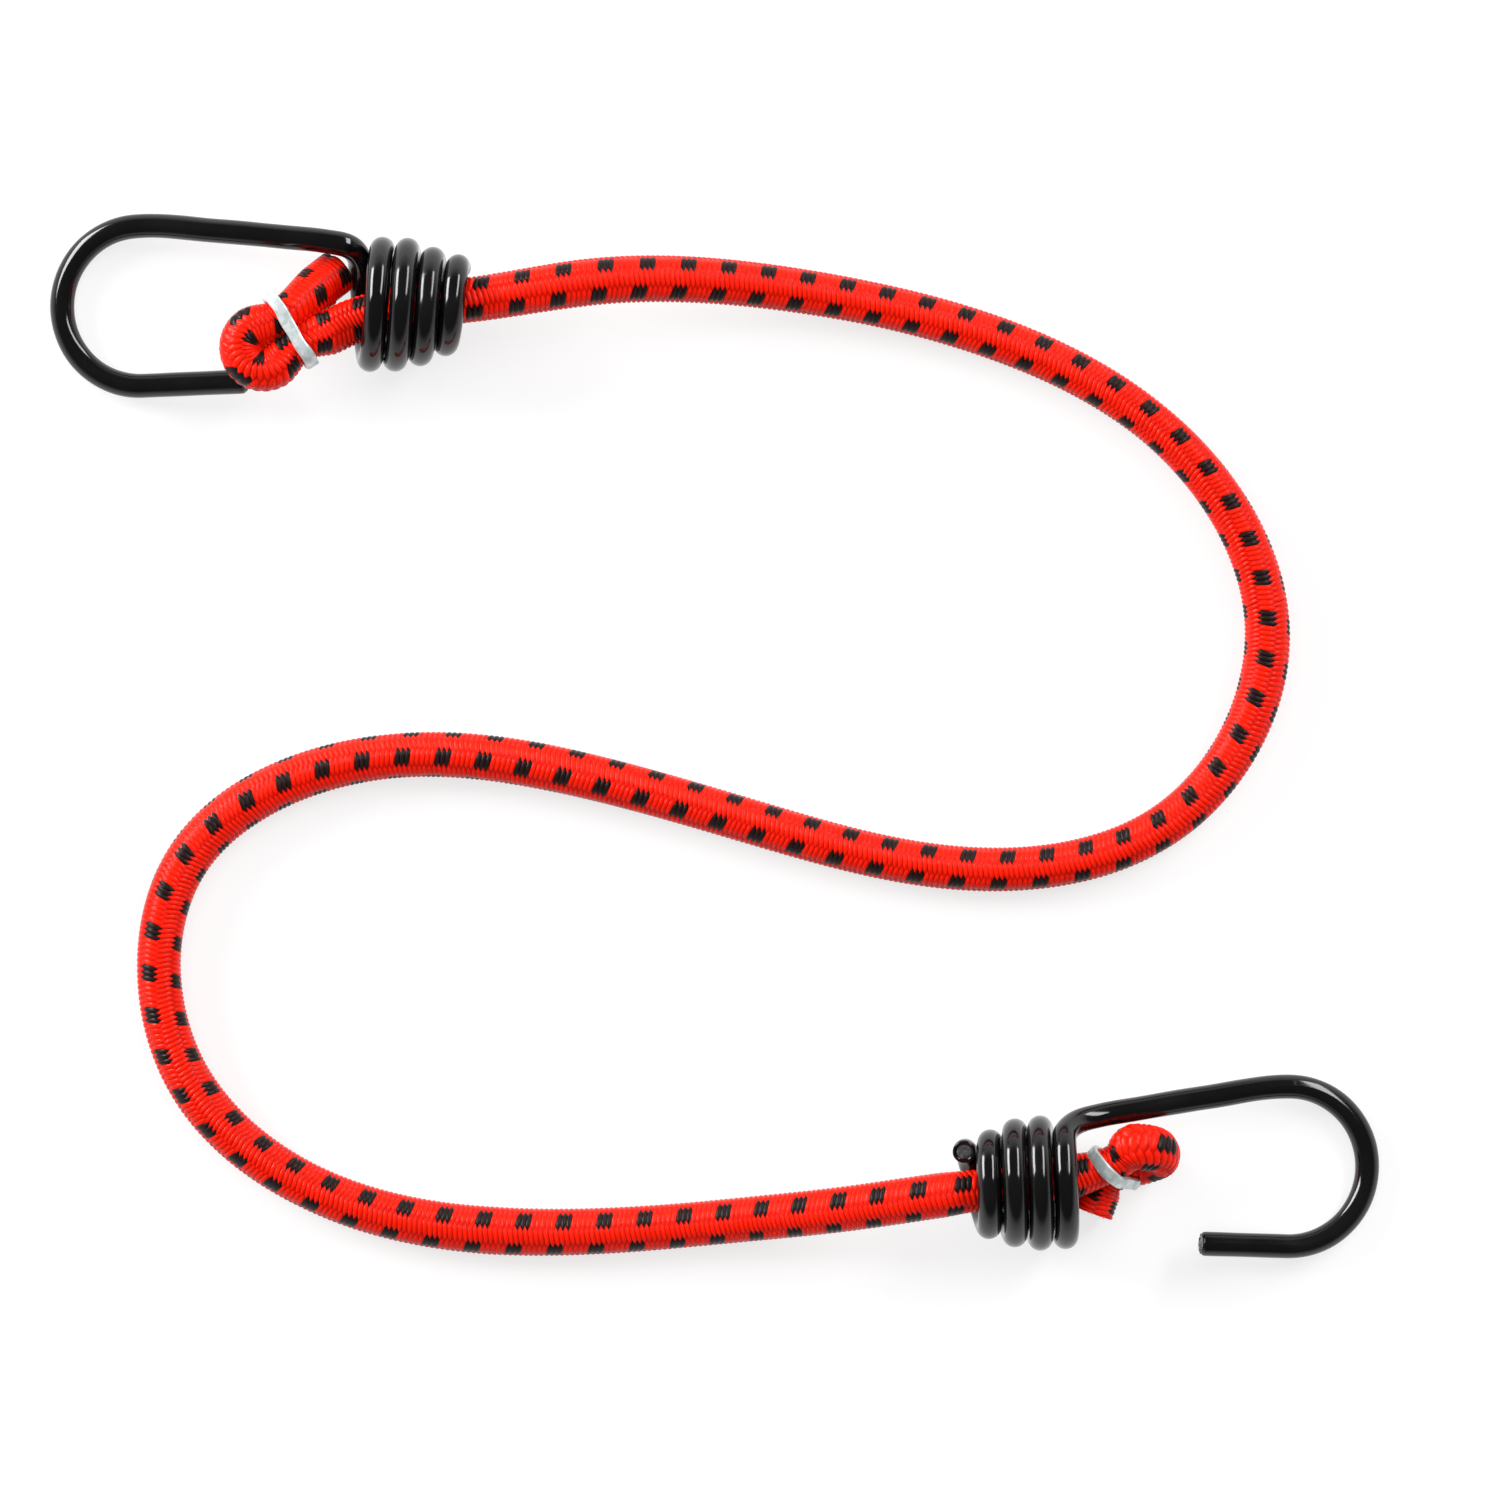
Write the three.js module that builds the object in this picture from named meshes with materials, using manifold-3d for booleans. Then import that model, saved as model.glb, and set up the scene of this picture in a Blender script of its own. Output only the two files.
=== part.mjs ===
// A bungee cord lying in a loose S: a braided elastic cord whose two ends are folded back and
// clipped, each behind the coiled end of a plastic-jacketed steel wire hook.
// Millimetres, +Z up, lying on the plane z = 0, the origin under the middle of its box.
import * as THREE from 'three';
import { mergeVertices } from 'three/addons/utils/BufferGeometryUtils.js';
import Module from 'manifold-3d';

const wasm = await Module();
wasm.setup();

// Cord
const CORD_DIAMETER = 8;
const CORD_SIDES = 10;
const SHEATH_WALL = 0.7;
const STRAND_GAP = 0.25;
const STRAND_CLEARANCE = 0.15;
const CORD_STEP = 19;
const SHEATH_SEAM_GAP = 0.3;

// Folded ends and their clips
const FOLD_RADIUS = 4.15;
const FOLD_STEPS = 6;
const PINCH = 0.8;
const PINCH_SPREAD = 0.75;
const PINCHED_LEG_SPACING = 6.8;
const CLIP_THICKNESS = 1.1;
const CLIP_WIDTH = 2.4;
const CLIP_CHAMFER = 0.35;
const CLIP_CLEARANCE = 0.2;
const CLIP_END_GAP = 1.6;
const CLIP_ARC_STEPS = 8;

// Wire hooks
const WIRE_DIAMETER = 4.3;
const STEEL_DIAMETER = 2.8;
const JACKET_CLEARANCE = 0.1;
const JACKET_SIDES = 8;
const STEEL_SIDES = 5;
const LOOP_RADIUS = 14.75;
const LOOP_CENTRE = 41.1;
const LOOP_STEP_DEG = 15;
const TIP_SETBACK = 16.2;
const SHANK_CLOSING_DEG = 4;
const SHANK_SINK = 1;
const SHANK_END = 13;
const SHANK_END_SINK = 2.3;
const BEND_MIDDLE = { along: 6, out: 1.5, up: 0.3 };
const BEND_END = { along: 1.6, out: 0.55, up: 1.7 };
const COIL_TURNS = 4.05;
const COIL_STEPS_PER_TURN = 18;
const COIL_PITCH = 4.75;
const COIL_RADIUS = 10.2;
const COIL_END_RADIUS = 7;
const COIL_TAPER_START = 1.6;
const COIL_RELEASE_TURN = 0.09;
const REST_FLAT_DEPTH = 0.5;

// Where each hook's coil begins, seen from above, which way the hook points and how far its tip closes.
const LEFT_HOOK = { x: -65.8, y: 79.35, yaw: 180, roll: 180, restTurn: 0.25, tipClosing: 2.5 };
const RIGHT_HOOK = { x: 65.7, y: -82.05, yaw: 3.4, roll: 0, restTurn: 0.75, tipClosing: 8.5 };

// The cord's centre line, from the left cut end to the right one. Each folded end has its own
// middle of bend, pointing direction and across direction from the first leg to the second.
const LEFT_TAIL = [
  [-69.2, 86.2, 3.8],
  [-73.3, 82.7, 7.9],
];
const LEFT_FOLD = {
  clip: [-78, 74.5, 13.4],
  along: [-0.848, -0.53, 0.08],
  across: [0.53, -0.848, 0],
  reach: 5.9,
};
const LEFT_NECK = [
  [-71.2, 74.0, 12.6],
  [-66.6, 76.2, 11.9],
  [-60.6, 77.9, 12.2],
  [-54.2, 79.3, 13.1],
];
const LEFT_SEAM = [-49.3, 79.6, 13.95];
const RUN = [
  [-42.3, 80.4, 14.7],
  [-22.5, 83.4, 13.6],
  [16.0, 82.0, 6.2],
  [53.3, 72.9, 4.05],
  [86.5, 52.6, 4.05],
  [102.1, 18.2, 4.05],
  [85.1, -15.1, 4.05],
  [48.4, -24.7, 4.05],
  [10.6, -17.1, 4.05],
  [-27.2, -6.7, 4.05],
  [-64.8, -4.5, 4.05],
  [-98.0, -23.9, 4.05],
  [-98.6, -61.1, 4.05],
  [-69.8, -85.6, 4.05],
  [-32.0, -91.8, 4.05],
  [6.4, -89.3, 5.6],
  [25.6, -87.0, 10.8],
  [42.6, -84.4, 14.5],
];
const RIGHT_SEAM = [50.2, -83.5, 13.9];
const RIGHT_NECK = [
  [55.0, -83.2, 13.0],
  [61.2, -81.9, 12.2],
  [66.4, -81.0, 11.6],
];
const RIGHT_FOLD = {
  clip: [73.7, -79.8, 8.2],
  along: [0.9, 0.43, 0],
  across: [0.15, -0.31, -0.94],
  reach: 4.6,
};
const RIGHT_TAIL = [
  [70.9, -84.0, 4.8],
  [69.4, -87.9, 4.6],
];

const COLOURS = {
  sheath: { color: 0xf63a22, roughness: 0.75, metalness: 0 },
  rubber: { color: 0xe9dfc8, roughness: 0.8, metalness: 0 },
  jacket: { color: 0x161517, roughness: 0.28, metalness: 0 },
  steel: { color: 0x9a9ea0, roughness: 0.4, metalness: 1 },
  zinc: { color: 0xc9cfd0, roughness: 0.35, metalness: 1 },
};

const vector = (point) => new THREE.Vector3(...point);
const radians = THREE.MathUtils.degToRad;

function regularPolygon(radius, sides, phase = Math.PI / sides) {
  const corner = (i) => {
    const angle = phase + (2 * Math.PI * i) / sides;
    return new THREE.Vector2(radius * Math.cos(angle), radius * Math.sin(angle));
  };
  return Array.from({ length: sides }, (_, i) => corner(i));
}

// Stations along a line of points: place, direction and two across directions that don't twist.
function stationsAlong(places, directions, firstNormal) {
  const normal = firstNormal.clone();
  const turn = new THREE.Quaternion();
  return places.map((place, i) => {
    const direction = directions[i].clone().normalize();
    if (i > 0) {
      turn.setFromUnitVectors(directions[i - 1].clone().normalize(), direction);
      normal.applyQuaternion(turn);
    }
    normal.addScaledVector(direction, -normal.dot(direction)).normalize();
    return { place, direction, normal: normal.clone(), side: direction.clone().cross(normal), scale: 1 };
  });
}

// A tube with closed ends, ring to ring along the stations, with a bore if one is given.
function sweep(stations, outline, bore = []) {
  const section = [...outline, ...bore];
  const ringSize = section.length;
  const positions = stations.flatMap(({ place, normal, side, scale }) =>
    section.flatMap((corner) => {
      const point = place.clone();
      point.addScaledVector(normal, corner.x * scale);
      return point.addScaledVector(side, corner.y * scale).toArray();
    }),
  );
  const faces = [];
  const wall = (first, count, outward) => {
    for (let s = 0; s + 1 < stations.length; s += 1) {
      for (let i = 0; i < count; i += 1) {
        const a = s * ringSize + first + i;
        const b = s * ringSize + first + ((i + 1) % count);
        const quad = [a, b, b + ringSize, a, b + ringSize, a + ringSize];
        faces.push(...(outward ? quad : quad.reverse()));
      }
    }
  };
  wall(0, outline.length, true);
  wall(outline.length, bore.length, false);
  const lastRing = (stations.length - 1) * ringSize;
  for (const [a, b, c] of THREE.ShapeUtils.triangulateShape(outline, bore.length ? [bore] : [])) {
    faces.push(c, b, a, lastRing + a, lastRing + b, lastRing + c);
  }
  const geometry = new THREE.BufferGeometry();
  geometry.setAttribute('position', new THREE.Float32BufferAttribute(positions, 3));
  geometry.setIndex(faces);
  return geometry;
}

function toManifold(geometry) {
  const plain = geometry.clone();
  plain.deleteAttribute('normal');
  plain.deleteAttribute('uv');
  const merged = mergeVertices(plain, 1e-5);
  const vertProperties = new Float32Array(merged.attributes.position.array);
  const triVerts = new Uint32Array(merged.index.array);
  return new wasm.Manifold(new wasm.Mesh({ numProp: 3, vertProperties, triVerts }));
}

// Cuts away what lies under the plane that the part rests on, which leaves small level flats.
function cutAtFloor(geometry) {
  const size = 400;
  const above = new THREE.BoxGeometry(size, size, size).translate(0, 0, size / 2);
  const { vertProperties, triVerts } = toManifold(geometry).intersect(toManifold(above)).getMesh();
  const cut = new THREE.BufferGeometry();
  cut.setAttribute('position', new THREE.Float32BufferAttribute(vertProperties, 3));
  cut.setIndex(Array.from(triVerts));
  return cut;
}

function mesh(name, geometry, finish) {
  const flat = geometry.index ? geometry.toNonIndexed() : geometry;
  flat.computeVertexNormals();
  const part = new THREE.Mesh(flat, new THREE.MeshStandardMaterial(COLOURS[finish]));
  part.name = name;
  return part;
}

// Folded ends

// A fold's own frame: the clip's middle, the way the bend points and the way across the legs.
function foldFrame({ clip, along, across, reach }) {
  const middle = vector(clip);
  const alongDirection = vector(along).normalize();
  const acrossDirection = vector(across);
  acrossDirection.addScaledVector(alongDirection, -acrossDirection.dot(alongDirection)).normalize();
  const bend = middle.clone().addScaledVector(alongDirection, reach);
  return { middle, along: alongDirection, across: acrossDirection, bend };
}

// The fold's points: first leg straight and pinched through the clip, half a turn round the
// bend, and back through the clip.
function foldPoints(fold) {
  const { middle, along, across, bend } = foldFrame(fold);
  const inClip = (sign, end) => {
    const point = middle.clone().addScaledVector(across, (sign * PINCHED_LEG_SPACING) / 2);
    return { point: point.addScaledVector(along, end * CLIP_WIDTH * PINCH_SPREAD), scale: PINCH };
  };
  const turn = Array.from({ length: FOLD_STEPS + 1 }, (_, i) => {
    const angle = -Math.PI / 2 + (Math.PI * i) / FOLD_STEPS;
    const point = bend.clone();
    point.addScaledVector(across, FOLD_RADIUS * Math.sin(angle));
    return { point: point.addScaledVector(along, FOLD_RADIUS * Math.cos(angle)), scale: 1 };
  });
  return [inClip(-1, -1), inClip(-1, 1), ...turn, inClip(1, 1), inClip(1, -1)];
}

// A flat wire bent into a long ring round both legs of a fold, its ends nearly meeting below.
function clipGeometry(fold) {
  const { middle, along, across } = foldFrame(fold);
  const through = across.clone().cross(along);
  const below = through.z > 0 ? through.clone().negate() : through.clone();
  const endRadius = (CORD_DIAMETER / 2) * PINCH + CLIP_CLEARANCE + CLIP_THICKNESS / 2;
  const halfSpacing = PINCHED_LEG_SPACING / 2;
  const outline = [[CLIP_END_GAP / 2, endRadius]];
  for (const side of [1, -1]) {
    for (let i = 0; i <= CLIP_ARC_STEPS; i += 1) {
      const angle = (Math.PI * i) / CLIP_ARC_STEPS;
      outline.push([side * (halfSpacing + endRadius * Math.sin(angle)), side * endRadius * Math.cos(angle)]);
    }
  }
  outline.push([-CLIP_END_GAP / 2, endRadius]);
  const places = outline.map(([a, b]) => {
    const place = middle.clone().addScaledVector(across, a);
    return place.addScaledVector(below, b);
  });
  const t = CLIP_THICKNESS / 2;
  const w = CLIP_WIDTH / 2;
  const c = CLIP_CHAMFER;
  const section = [
    [w, c - t], [w, t - c], [w - c, t], [c - w, t],
    [-w, t - c], [-w, c - t], [c - w, -t], [w - c, -t],
  ].map((corner) => new THREE.Vector2(...corner));
  return sweep(stationsAlong(places, directionsOf(places), along), section);
}

function directionsOf(places) {
  return places.map((_, i) => {
    const before = places[Math.max(i - 1, 0)];
    const after = places[Math.min(i + 1, places.length - 1)];
    return after.clone().sub(before).normalize();
  });
}

// Cord

// Stations of the whole cord, with the two places where the run ends and a folded end begins.
function cordStations() {
  const plain = (points) => points.map((point) => ({ point: vector(point), scale: 1 }));
  const leftEnd = [...plain(LEFT_TAIL), ...foldPoints(LEFT_FOLD), ...plain(LEFT_NECK)];
  const rightEnd = [...plain(RIGHT_NECK), ...foldPoints(RIGHT_FOLD), ...plain(RIGHT_TAIL)];
  const route = [...leftEnd, ...plain([LEFT_SEAM]), ...plain(RUN), ...plain([RIGHT_SEAM]), ...rightEnd];
  const curve = new THREE.CatmullRomCurve3(route.map(({ point }) => point));
  const spans = route.length - 1;
  const parameters = [0];
  const scales = [route[0].scale];
  const seams = [];
  for (let k = 0; k < spans; k += 1) {
    if (k === leftEnd.length || k === leftEnd.length + RUN.length + 1) {
      seams.push(parameters.length - 1);
    }
    const steps = Math.max(1, Math.round(route[k].point.distanceTo(route[k + 1].point) / CORD_STEP));
    for (let i = 1; i <= steps; i += 1) {
      parameters.push((k + i / steps) / spans);
      scales.push(THREE.MathUtils.lerp(route[k].scale, route[k + 1].scale, i / steps));
    }
  }
  const places = parameters.map((t) => curve.getPoint(t));
  const directions = parameters.map((t) => curve.getTangent(t));
  const stations = stationsAlong(places, directions, new THREE.Vector3(0, 0, 1));
  stations.forEach((station, i) => { station.scale = scales[i]; });
  console.log(`cord ${curve.getLength().toFixed(0)} mm from cut end to cut end`);
  return { stations, seams };
}

function shifted(station, distance) {
  return { ...station, place: station.place.clone().addScaledVector(station.direction, distance) };
}

function cordMeshes() {
  const { stations, seams: [leftSeam, rightSeam] } = cordStations();
  const cordRadius = CORD_DIAMETER / 2;
  const boreRadius = cordRadius - SHEATH_WALL;
  const outline = regularPolygon(cordRadius, CORD_SIDES);
  const bore = regularPolygon(boreRadius, CORD_SIDES);
  const half = SHEATH_SEAM_GAP / 2;
  const leftEnd = [...stations.slice(0, leftSeam), shifted(stations[leftSeam], -half)];
  const run = [
    shifted(stations[leftSeam], half),
    ...stations.slice(leftSeam + 1, rightSeam),
    shifted(stations[rightSeam], -half),
  ];
  const rightEnd = [shifted(stations[rightSeam], half), ...stations.slice(rightSeam + 1)];
  const meshes = [
    mesh('cord_sheath', sweep(run, outline, bore), 'sheath'),
    mesh('left_end_sheath', sweep(leftEnd, outline, bore), 'sheath'),
    mesh('right_end_sheath', sweep(rightEnd, outline, bore), 'sheath'),
  ];
  // Twelve square rubber strands: four rows of four, without the corners.
  const boreFlat = boreRadius * Math.cos(Math.PI / CORD_SIDES);
  const pitch = (boreFlat - STRAND_CLEARANCE) / Math.hypot(2, 1);
  const halfSide = (pitch - STRAND_GAP) / 2;
  const rows = [-1.5, -0.5, 0.5, 1.5];
  const cells = rows.flatMap((row) => rows.map((column) => [row, column]));
  const kept = cells.filter(([row, column]) => Math.abs(row * column) < 2);
  kept.forEach(([row, column], i) => {
    const corners = [[1, -1], [1, 1], [-1, 1], [-1, -1]];
    const square = corners.map(([a, b]) =>
      new THREE.Vector2(row * pitch + a * halfSide, column * pitch + b * halfSide));
    const number = String(i + 1).padStart(2, '0');
    meshes.push(mesh(`rubber_strand_${number}`, sweep(stations, square), 'rubber'));
  });
  return meshes;
}

// Wire hooks

function coilRadius(turn) {
  const share = THREE.MathUtils.smoothstep(turn, COIL_TAPER_START, COIL_TURNS);
  return THREE.MathUtils.lerp(COIL_RADIUS, COIL_END_RADIUS, share);
}

function coilPoint(turn) {
  const angle = 2 * Math.PI * turn;
  const radius = coilRadius(turn);
  return new THREE.Vector3(-COIL_PITCH * turn, radius * Math.cos(angle), radius * Math.sin(angle));
}

// The bent wire in the hook's own frame, from the tip round the loop, along the shank and into
// the coil. The coil's axis is X, the loop lies in the plane z = 0.
function wireStations(tipClosing) {
  const places = [];
  const directions = [];
  const loopAt = (degrees) => {
    const angle = radians(degrees);
    const outward = new THREE.Vector3(Math.cos(angle), Math.sin(angle), 0);
    places.push(new THREE.Vector3(LOOP_CENTRE, 0, 0).addScaledVector(outward, LOOP_RADIUS));
    directions.push(new THREE.Vector3(-outward.y, outward.x, 0));
  };
  const firstAngle = -90 - tipClosing;
  const lastAngle = 90 - SHANK_CLOSING_DEG;
  loopAt(firstAngle);
  const tip = places[0].clone().addScaledVector(directions[0], -TIP_SETBACK);
  places.unshift(tip);
  directions.unshift(directions[0].clone());
  // The steps put one facet square across the loop's far end, where a bar hangs.
  const nearEnd = LOOP_STEP_DEG / 2;
  const firstStep = Math.ceil((firstAngle + nearEnd) / LOOP_STEP_DEG - 0.5) + 0.5;
  for (let angle = firstStep * LOOP_STEP_DEG; angle < lastAngle - nearEnd; angle += LOOP_STEP_DEG) {
    loopAt(angle);
  }
  loopAt(lastAngle);
  const bendPoint = ({ along, out, up }) => new THREE.Vector3(along, COIL_RADIUS + out, up);
  const release = coilPoint(COIL_RELEASE_TURN);
  const beforeRelease = coilPoint(COIL_RELEASE_TURN + 0.02);
  const shank = new THREE.CatmullRomCurve3([
    places.at(-2).clone(),
    places.at(-1).clone(),
    new THREE.Vector3(LOOP_CENTRE - LOOP_RADIUS, LOOP_RADIUS - SHANK_SINK, 0),
    new THREE.Vector3(SHANK_END, LOOP_RADIUS - SHANK_END_SINK, 0),
    bendPoint(BEND_MIDDLE),
    bendPoint(BEND_END),
    release,
    beforeRelease,
  ]);
  const shankSpans = 7;
  const stops = [1.5, 2, 2.5, 3, 3.5, 4, 4.33, 4.67, 5, 5.33, 5.67, 6];
  for (const stop of stops) {
    places.push(shank.getPoint(stop / shankSpans));
    directions.push(shank.getTangent(stop / shankSpans));
  }
  const coilSteps = Math.round((COIL_TURNS - COIL_RELEASE_TURN) * COIL_STEPS_PER_TURN);
  const nudge = 1e-3;
  for (let i = 1; i <= coilSteps; i += 1) {
    const turn = COIL_RELEASE_TURN + ((COIL_TURNS - COIL_RELEASE_TURN) * i) / coilSteps;
    places.push(coilPoint(turn));
    directions.push(coilPoint(turn + nudge).sub(coilPoint(turn - nudge)).normalize());
  }
  return stationsAlong(places, directions, new THREE.Vector3(0, 0, 1));
}

// The least clear space between turns of the wire that aren't next to each other along it.
function leastGap(stations) {
  const apart = Math.round(COIL_STEPS_PER_TURN / 2);
  let least = Infinity;
  stations.forEach(({ place }, i) => {
    stations.slice(i + apart).forEach((other) => {
      least = Math.min(least, place.distanceTo(other.place) - WIRE_DIAMETER);
    });
  });
  return least;
}

// Lays a hook on its coil and the end of its loop, which sets how far it tilts.
function hookPlacement({ x, y, yaw, roll, restTurn }) {
  const coilReach = COIL_RADIUS + WIRE_DIAMETER / 2;
  const restAt = -COIL_PITCH * restTurn;
  const span = LOOP_CENTRE + LOOP_RADIUS - restAt;
  const tilt = Math.acos(WIRE_DIAMETER / 2 / Math.hypot(coilReach, span)) - Math.atan2(span, coilReach);
  const height = coilReach * Math.cos(tilt) + restAt * Math.sin(tilt) - REST_FLAT_DEPTH;
  const turn = new THREE.Euler(radians(roll), tilt, radians(yaw), 'ZYX');
  return new THREE.Matrix4().makeRotationFromEuler(turn).setPosition(x, y, height);
}

function hookMeshes(side, hook) {
  const stations = wireStations(hook.tipClosing);
  const placement = hookPlacement(hook);
  const jacketBore = STEEL_DIAMETER / 2 + JACKET_CLEARANCE;
  const outline = regularPolygon(WIRE_DIAMETER / 2, JACKET_SIDES);
  const jacket = sweep(stations, outline, regularPolygon(jacketBore, STEEL_SIDES));
  const steel = sweep(stations, regularPolygon(STEEL_DIAMETER / 2, STEEL_SIDES));
  return [
    mesh(`${side}_hook_jacket`, cutAtFloor(jacket.applyMatrix4(placement)), 'jacket'),
    mesh(`${side}_hook_wire`, steel.applyMatrix4(placement), 'steel'),
  ];
}

const coilGap = leastGap(wireStations(LEFT_HOOK.tipClosing));
console.log(`least gap between turns of the hook coil ${coilGap.toFixed(2)} mm`);

const bungeeCord = new THREE.Group();
bungeeCord.add(...cordMeshes());
bungeeCord.add(mesh('left_clip', clipGeometry(LEFT_FOLD), 'zinc'));
bungeeCord.add(mesh('right_clip', clipGeometry(RIGHT_FOLD), 'zinc'));
bungeeCord.add(...hookMeshes('left', LEFT_HOOK));
bungeeCord.add(...hookMeshes('right', RIGHT_HOOK));

export default bungeeCord;
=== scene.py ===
# A bungee cord lying in a loose S on a white table, seen from straight above: a braided elastic
# cord with red yarn and black flecks, folded back and clipped at both ends, each end behind the
# coil of a black plastic-coated wire hook.
import math

import bpy
import numpy as np
from mathutils import Matrix, Vector


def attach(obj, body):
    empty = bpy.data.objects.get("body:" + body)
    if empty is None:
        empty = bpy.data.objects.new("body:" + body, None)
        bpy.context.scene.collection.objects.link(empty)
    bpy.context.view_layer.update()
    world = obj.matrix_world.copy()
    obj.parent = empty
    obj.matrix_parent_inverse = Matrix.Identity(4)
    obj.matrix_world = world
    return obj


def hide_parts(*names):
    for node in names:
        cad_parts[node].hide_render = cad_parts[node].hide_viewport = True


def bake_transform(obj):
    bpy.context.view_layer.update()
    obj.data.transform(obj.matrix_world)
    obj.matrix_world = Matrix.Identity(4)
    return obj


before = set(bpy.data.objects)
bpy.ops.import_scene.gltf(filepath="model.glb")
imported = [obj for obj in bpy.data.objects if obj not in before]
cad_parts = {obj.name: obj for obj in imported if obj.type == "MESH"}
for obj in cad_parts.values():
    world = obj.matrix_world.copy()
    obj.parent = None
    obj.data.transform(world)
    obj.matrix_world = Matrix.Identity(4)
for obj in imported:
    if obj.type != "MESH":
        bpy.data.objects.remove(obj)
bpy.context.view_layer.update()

# Lengths below are in millimetres and angles in degrees, as in the solids, unless a comment says
# otherwise.
MM = 0.001

# Camera: the photograph's frame, straight down
FRAME_WIDTH = 277.8
FRAME_CENTRE = (6.48, -2.69)
LENS = 250
SENSOR = 36
SIGHT_METRES = 50

# The cord's route, from the left cut end to the right one
CORD_DIAMETER = 8
LEFT_TAIL = [(-69.2, 86.2, 3.8), (-73.3, 82.7, 7.9)]
# A fold points along, and its second leg lies across from its first. The bend is swollen, spread
# and turned back, the cord has a shoulder behind the clip, and the legs are pulled together until
# the fold is closed.
LEFT_FOLD = dict(
    clip=(-78, 74.5, 13.4), along=(-0.848, -0.53, 0.08), across=(0.53, -0.848, 0),
    reach=5.9, swell=0.97, pull=0.6, closed=(4.4, 7.9), spread=0, turn=0, shoulder=0,
    clip_skew=0, clip_lean=0,
)
LEFT_NECK = [(-71.2, 74.0, 12.6), (-66.6, 76.2, 11.9), (-60.6, 77.9, 12.2), (-54.2, 79.3, 13.1)]
LEFT_SEAM = [(-49.3, 79.6, 13.95)]
RUN = [
    (-42.3, 80.4, 14.7), (-22.5, 83.4, 13.6), (16.0, 82.0, 6.2), (53.3, 72.9, 4.05),
    (86.5, 52.6, 4.05), (102.1, 18.2, 4.05), (85.1, -15.1, 4.05), (48.4, -24.7, 4.05),
    (10.6, -17.1, 4.05), (-27.2, -6.7, 4.05), (-64.8, -4.5, 4.05), (-98.0, -23.9, 4.05),
    (-98.6, -61.1, 4.05), (-69.8, -85.6, 4.05), (-32.0, -91.8, 4.05), (6.4, -89.3, 5.6),
    (25.6, -87.0, 10.8), (42.6, -84.4, 14.5),
]
RIGHT_SEAM = [(50.2, -83.5, 13.9)]
RIGHT_NECK = [(55.0, -83.2, 13.0), (61.2, -81.9, 12.2), (66.4, -81.0, 11.6)]
RIGHT_FOLD = dict(
    clip=(73.7, -79.8, 8.2), along=(0.9, 0.43, 0), across=(0.15, -0.31, -0.94),
    reach=4.6, swell=0.95, pull=0.55, closed=(1.5, 4.5), spread=0.13, turn=22, shoulder=0.08,
    clip_skew=17, clip_lean=12,
)
RIGHT_TAIL = [(70.9, -84.0, 4.8), (69.4, -87.9, 4.6)]
ROUTE_STEPS = 48
PATH_STEP = 2

# Folded ends and their clips
FOLD_RADIUS = 4.15
FOLD_STEPS = 6
PINCH = 0.81
PINCH_SPREAD = 0.75
LEG_SPACING = 6.8
TAIL_SWELL = 1.03
LEFT_TRIM = 1.7
LEG_GAP = 0.03
LEG_PULL_REACH = 2.5
TURN_PIVOT = 6.2
TURN_REACH = 18.6
TURN_START = 1.2
TURN_FULL = 5
SHOULDER_AT = 3.5
# The bend's extra width fades between these shares of half a fold
SPREAD_FADE = (0.25, 0.7)
CLIP_THICKNESS = 1.1
CLIP_WIDTH = 2.4
CLIP_BORE_RADIUS = 3.4
CLIP_END_GAP = 1.6
CLIP_CORNER = 0.32
CLIP_SQUARENESS = 0.78
# Waves are given by height, pace and phase
CLIP_WANDER = ((0.14, 0.42, 1), (0.05, 1.3, 0))
CLIP_FLATTENING = ((0.04, 0.9, 2),)

# Braid: eight yarns each way, floats in eight columns round the cord, three black yarns of eight
COLUMNS = 8
YARNS = 8
BLACK_YARNS = 3
BLACK_START = 2
RIB_PITCH = 0.9377
RIB_RINGS = 6
COLUMN_ROWS = 6
FLOAT_LEAN = 0.5
TOOTH = 0.16
YARN_RISE = 0.3
BRAID_RADIUS = 4.2
# How thick the cord is along its length, against its mean: distance from the left cut end, share
GIRTH = [
    (75, 1.0), (95, 1.05), (115, 1.03), (150, 0.97), (175, 0.98), (207, 0.93), (262, 1.02),
    (298, 0.96), (355, 0.99), (415, 1.03), (442, 0.99), (470, 1.03), (506, 0.98), (535, 1.04),
    (558, 1.01), (593, 1.07), (630, 1.0), (670, 1.02), (678, 1.01), (682, 0.955), (692, 0.955),
    (700, 1.0),
]
FLOAT_DIVE = np.array([0.12, 0.78, 0.97, 1.0, 0.97, 0.78])
# How the columns turn round the cord: distance from the left cut end, angle from straight up
BRAID_TWIST = [
    (0, 28), (28, 28), (43, 50), (185, 42), (241, 6), (310, -37), (367, -54), (430, -81),
    (472, -96), (535, -135), (577, -144), (742, -156),
]
FLOAT_SHADES = 101 * YARNS
# How far apart floats lie in the yarn's map, across and along
FLOAT_MAP_STEP = (1.37, 1.71)
EVEN_TONE = 0.5
# Cut faces, bores and hidden discs get a low rise, so they take nearly the valleys' painted shade
CAP_RISE = 0.2

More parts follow.
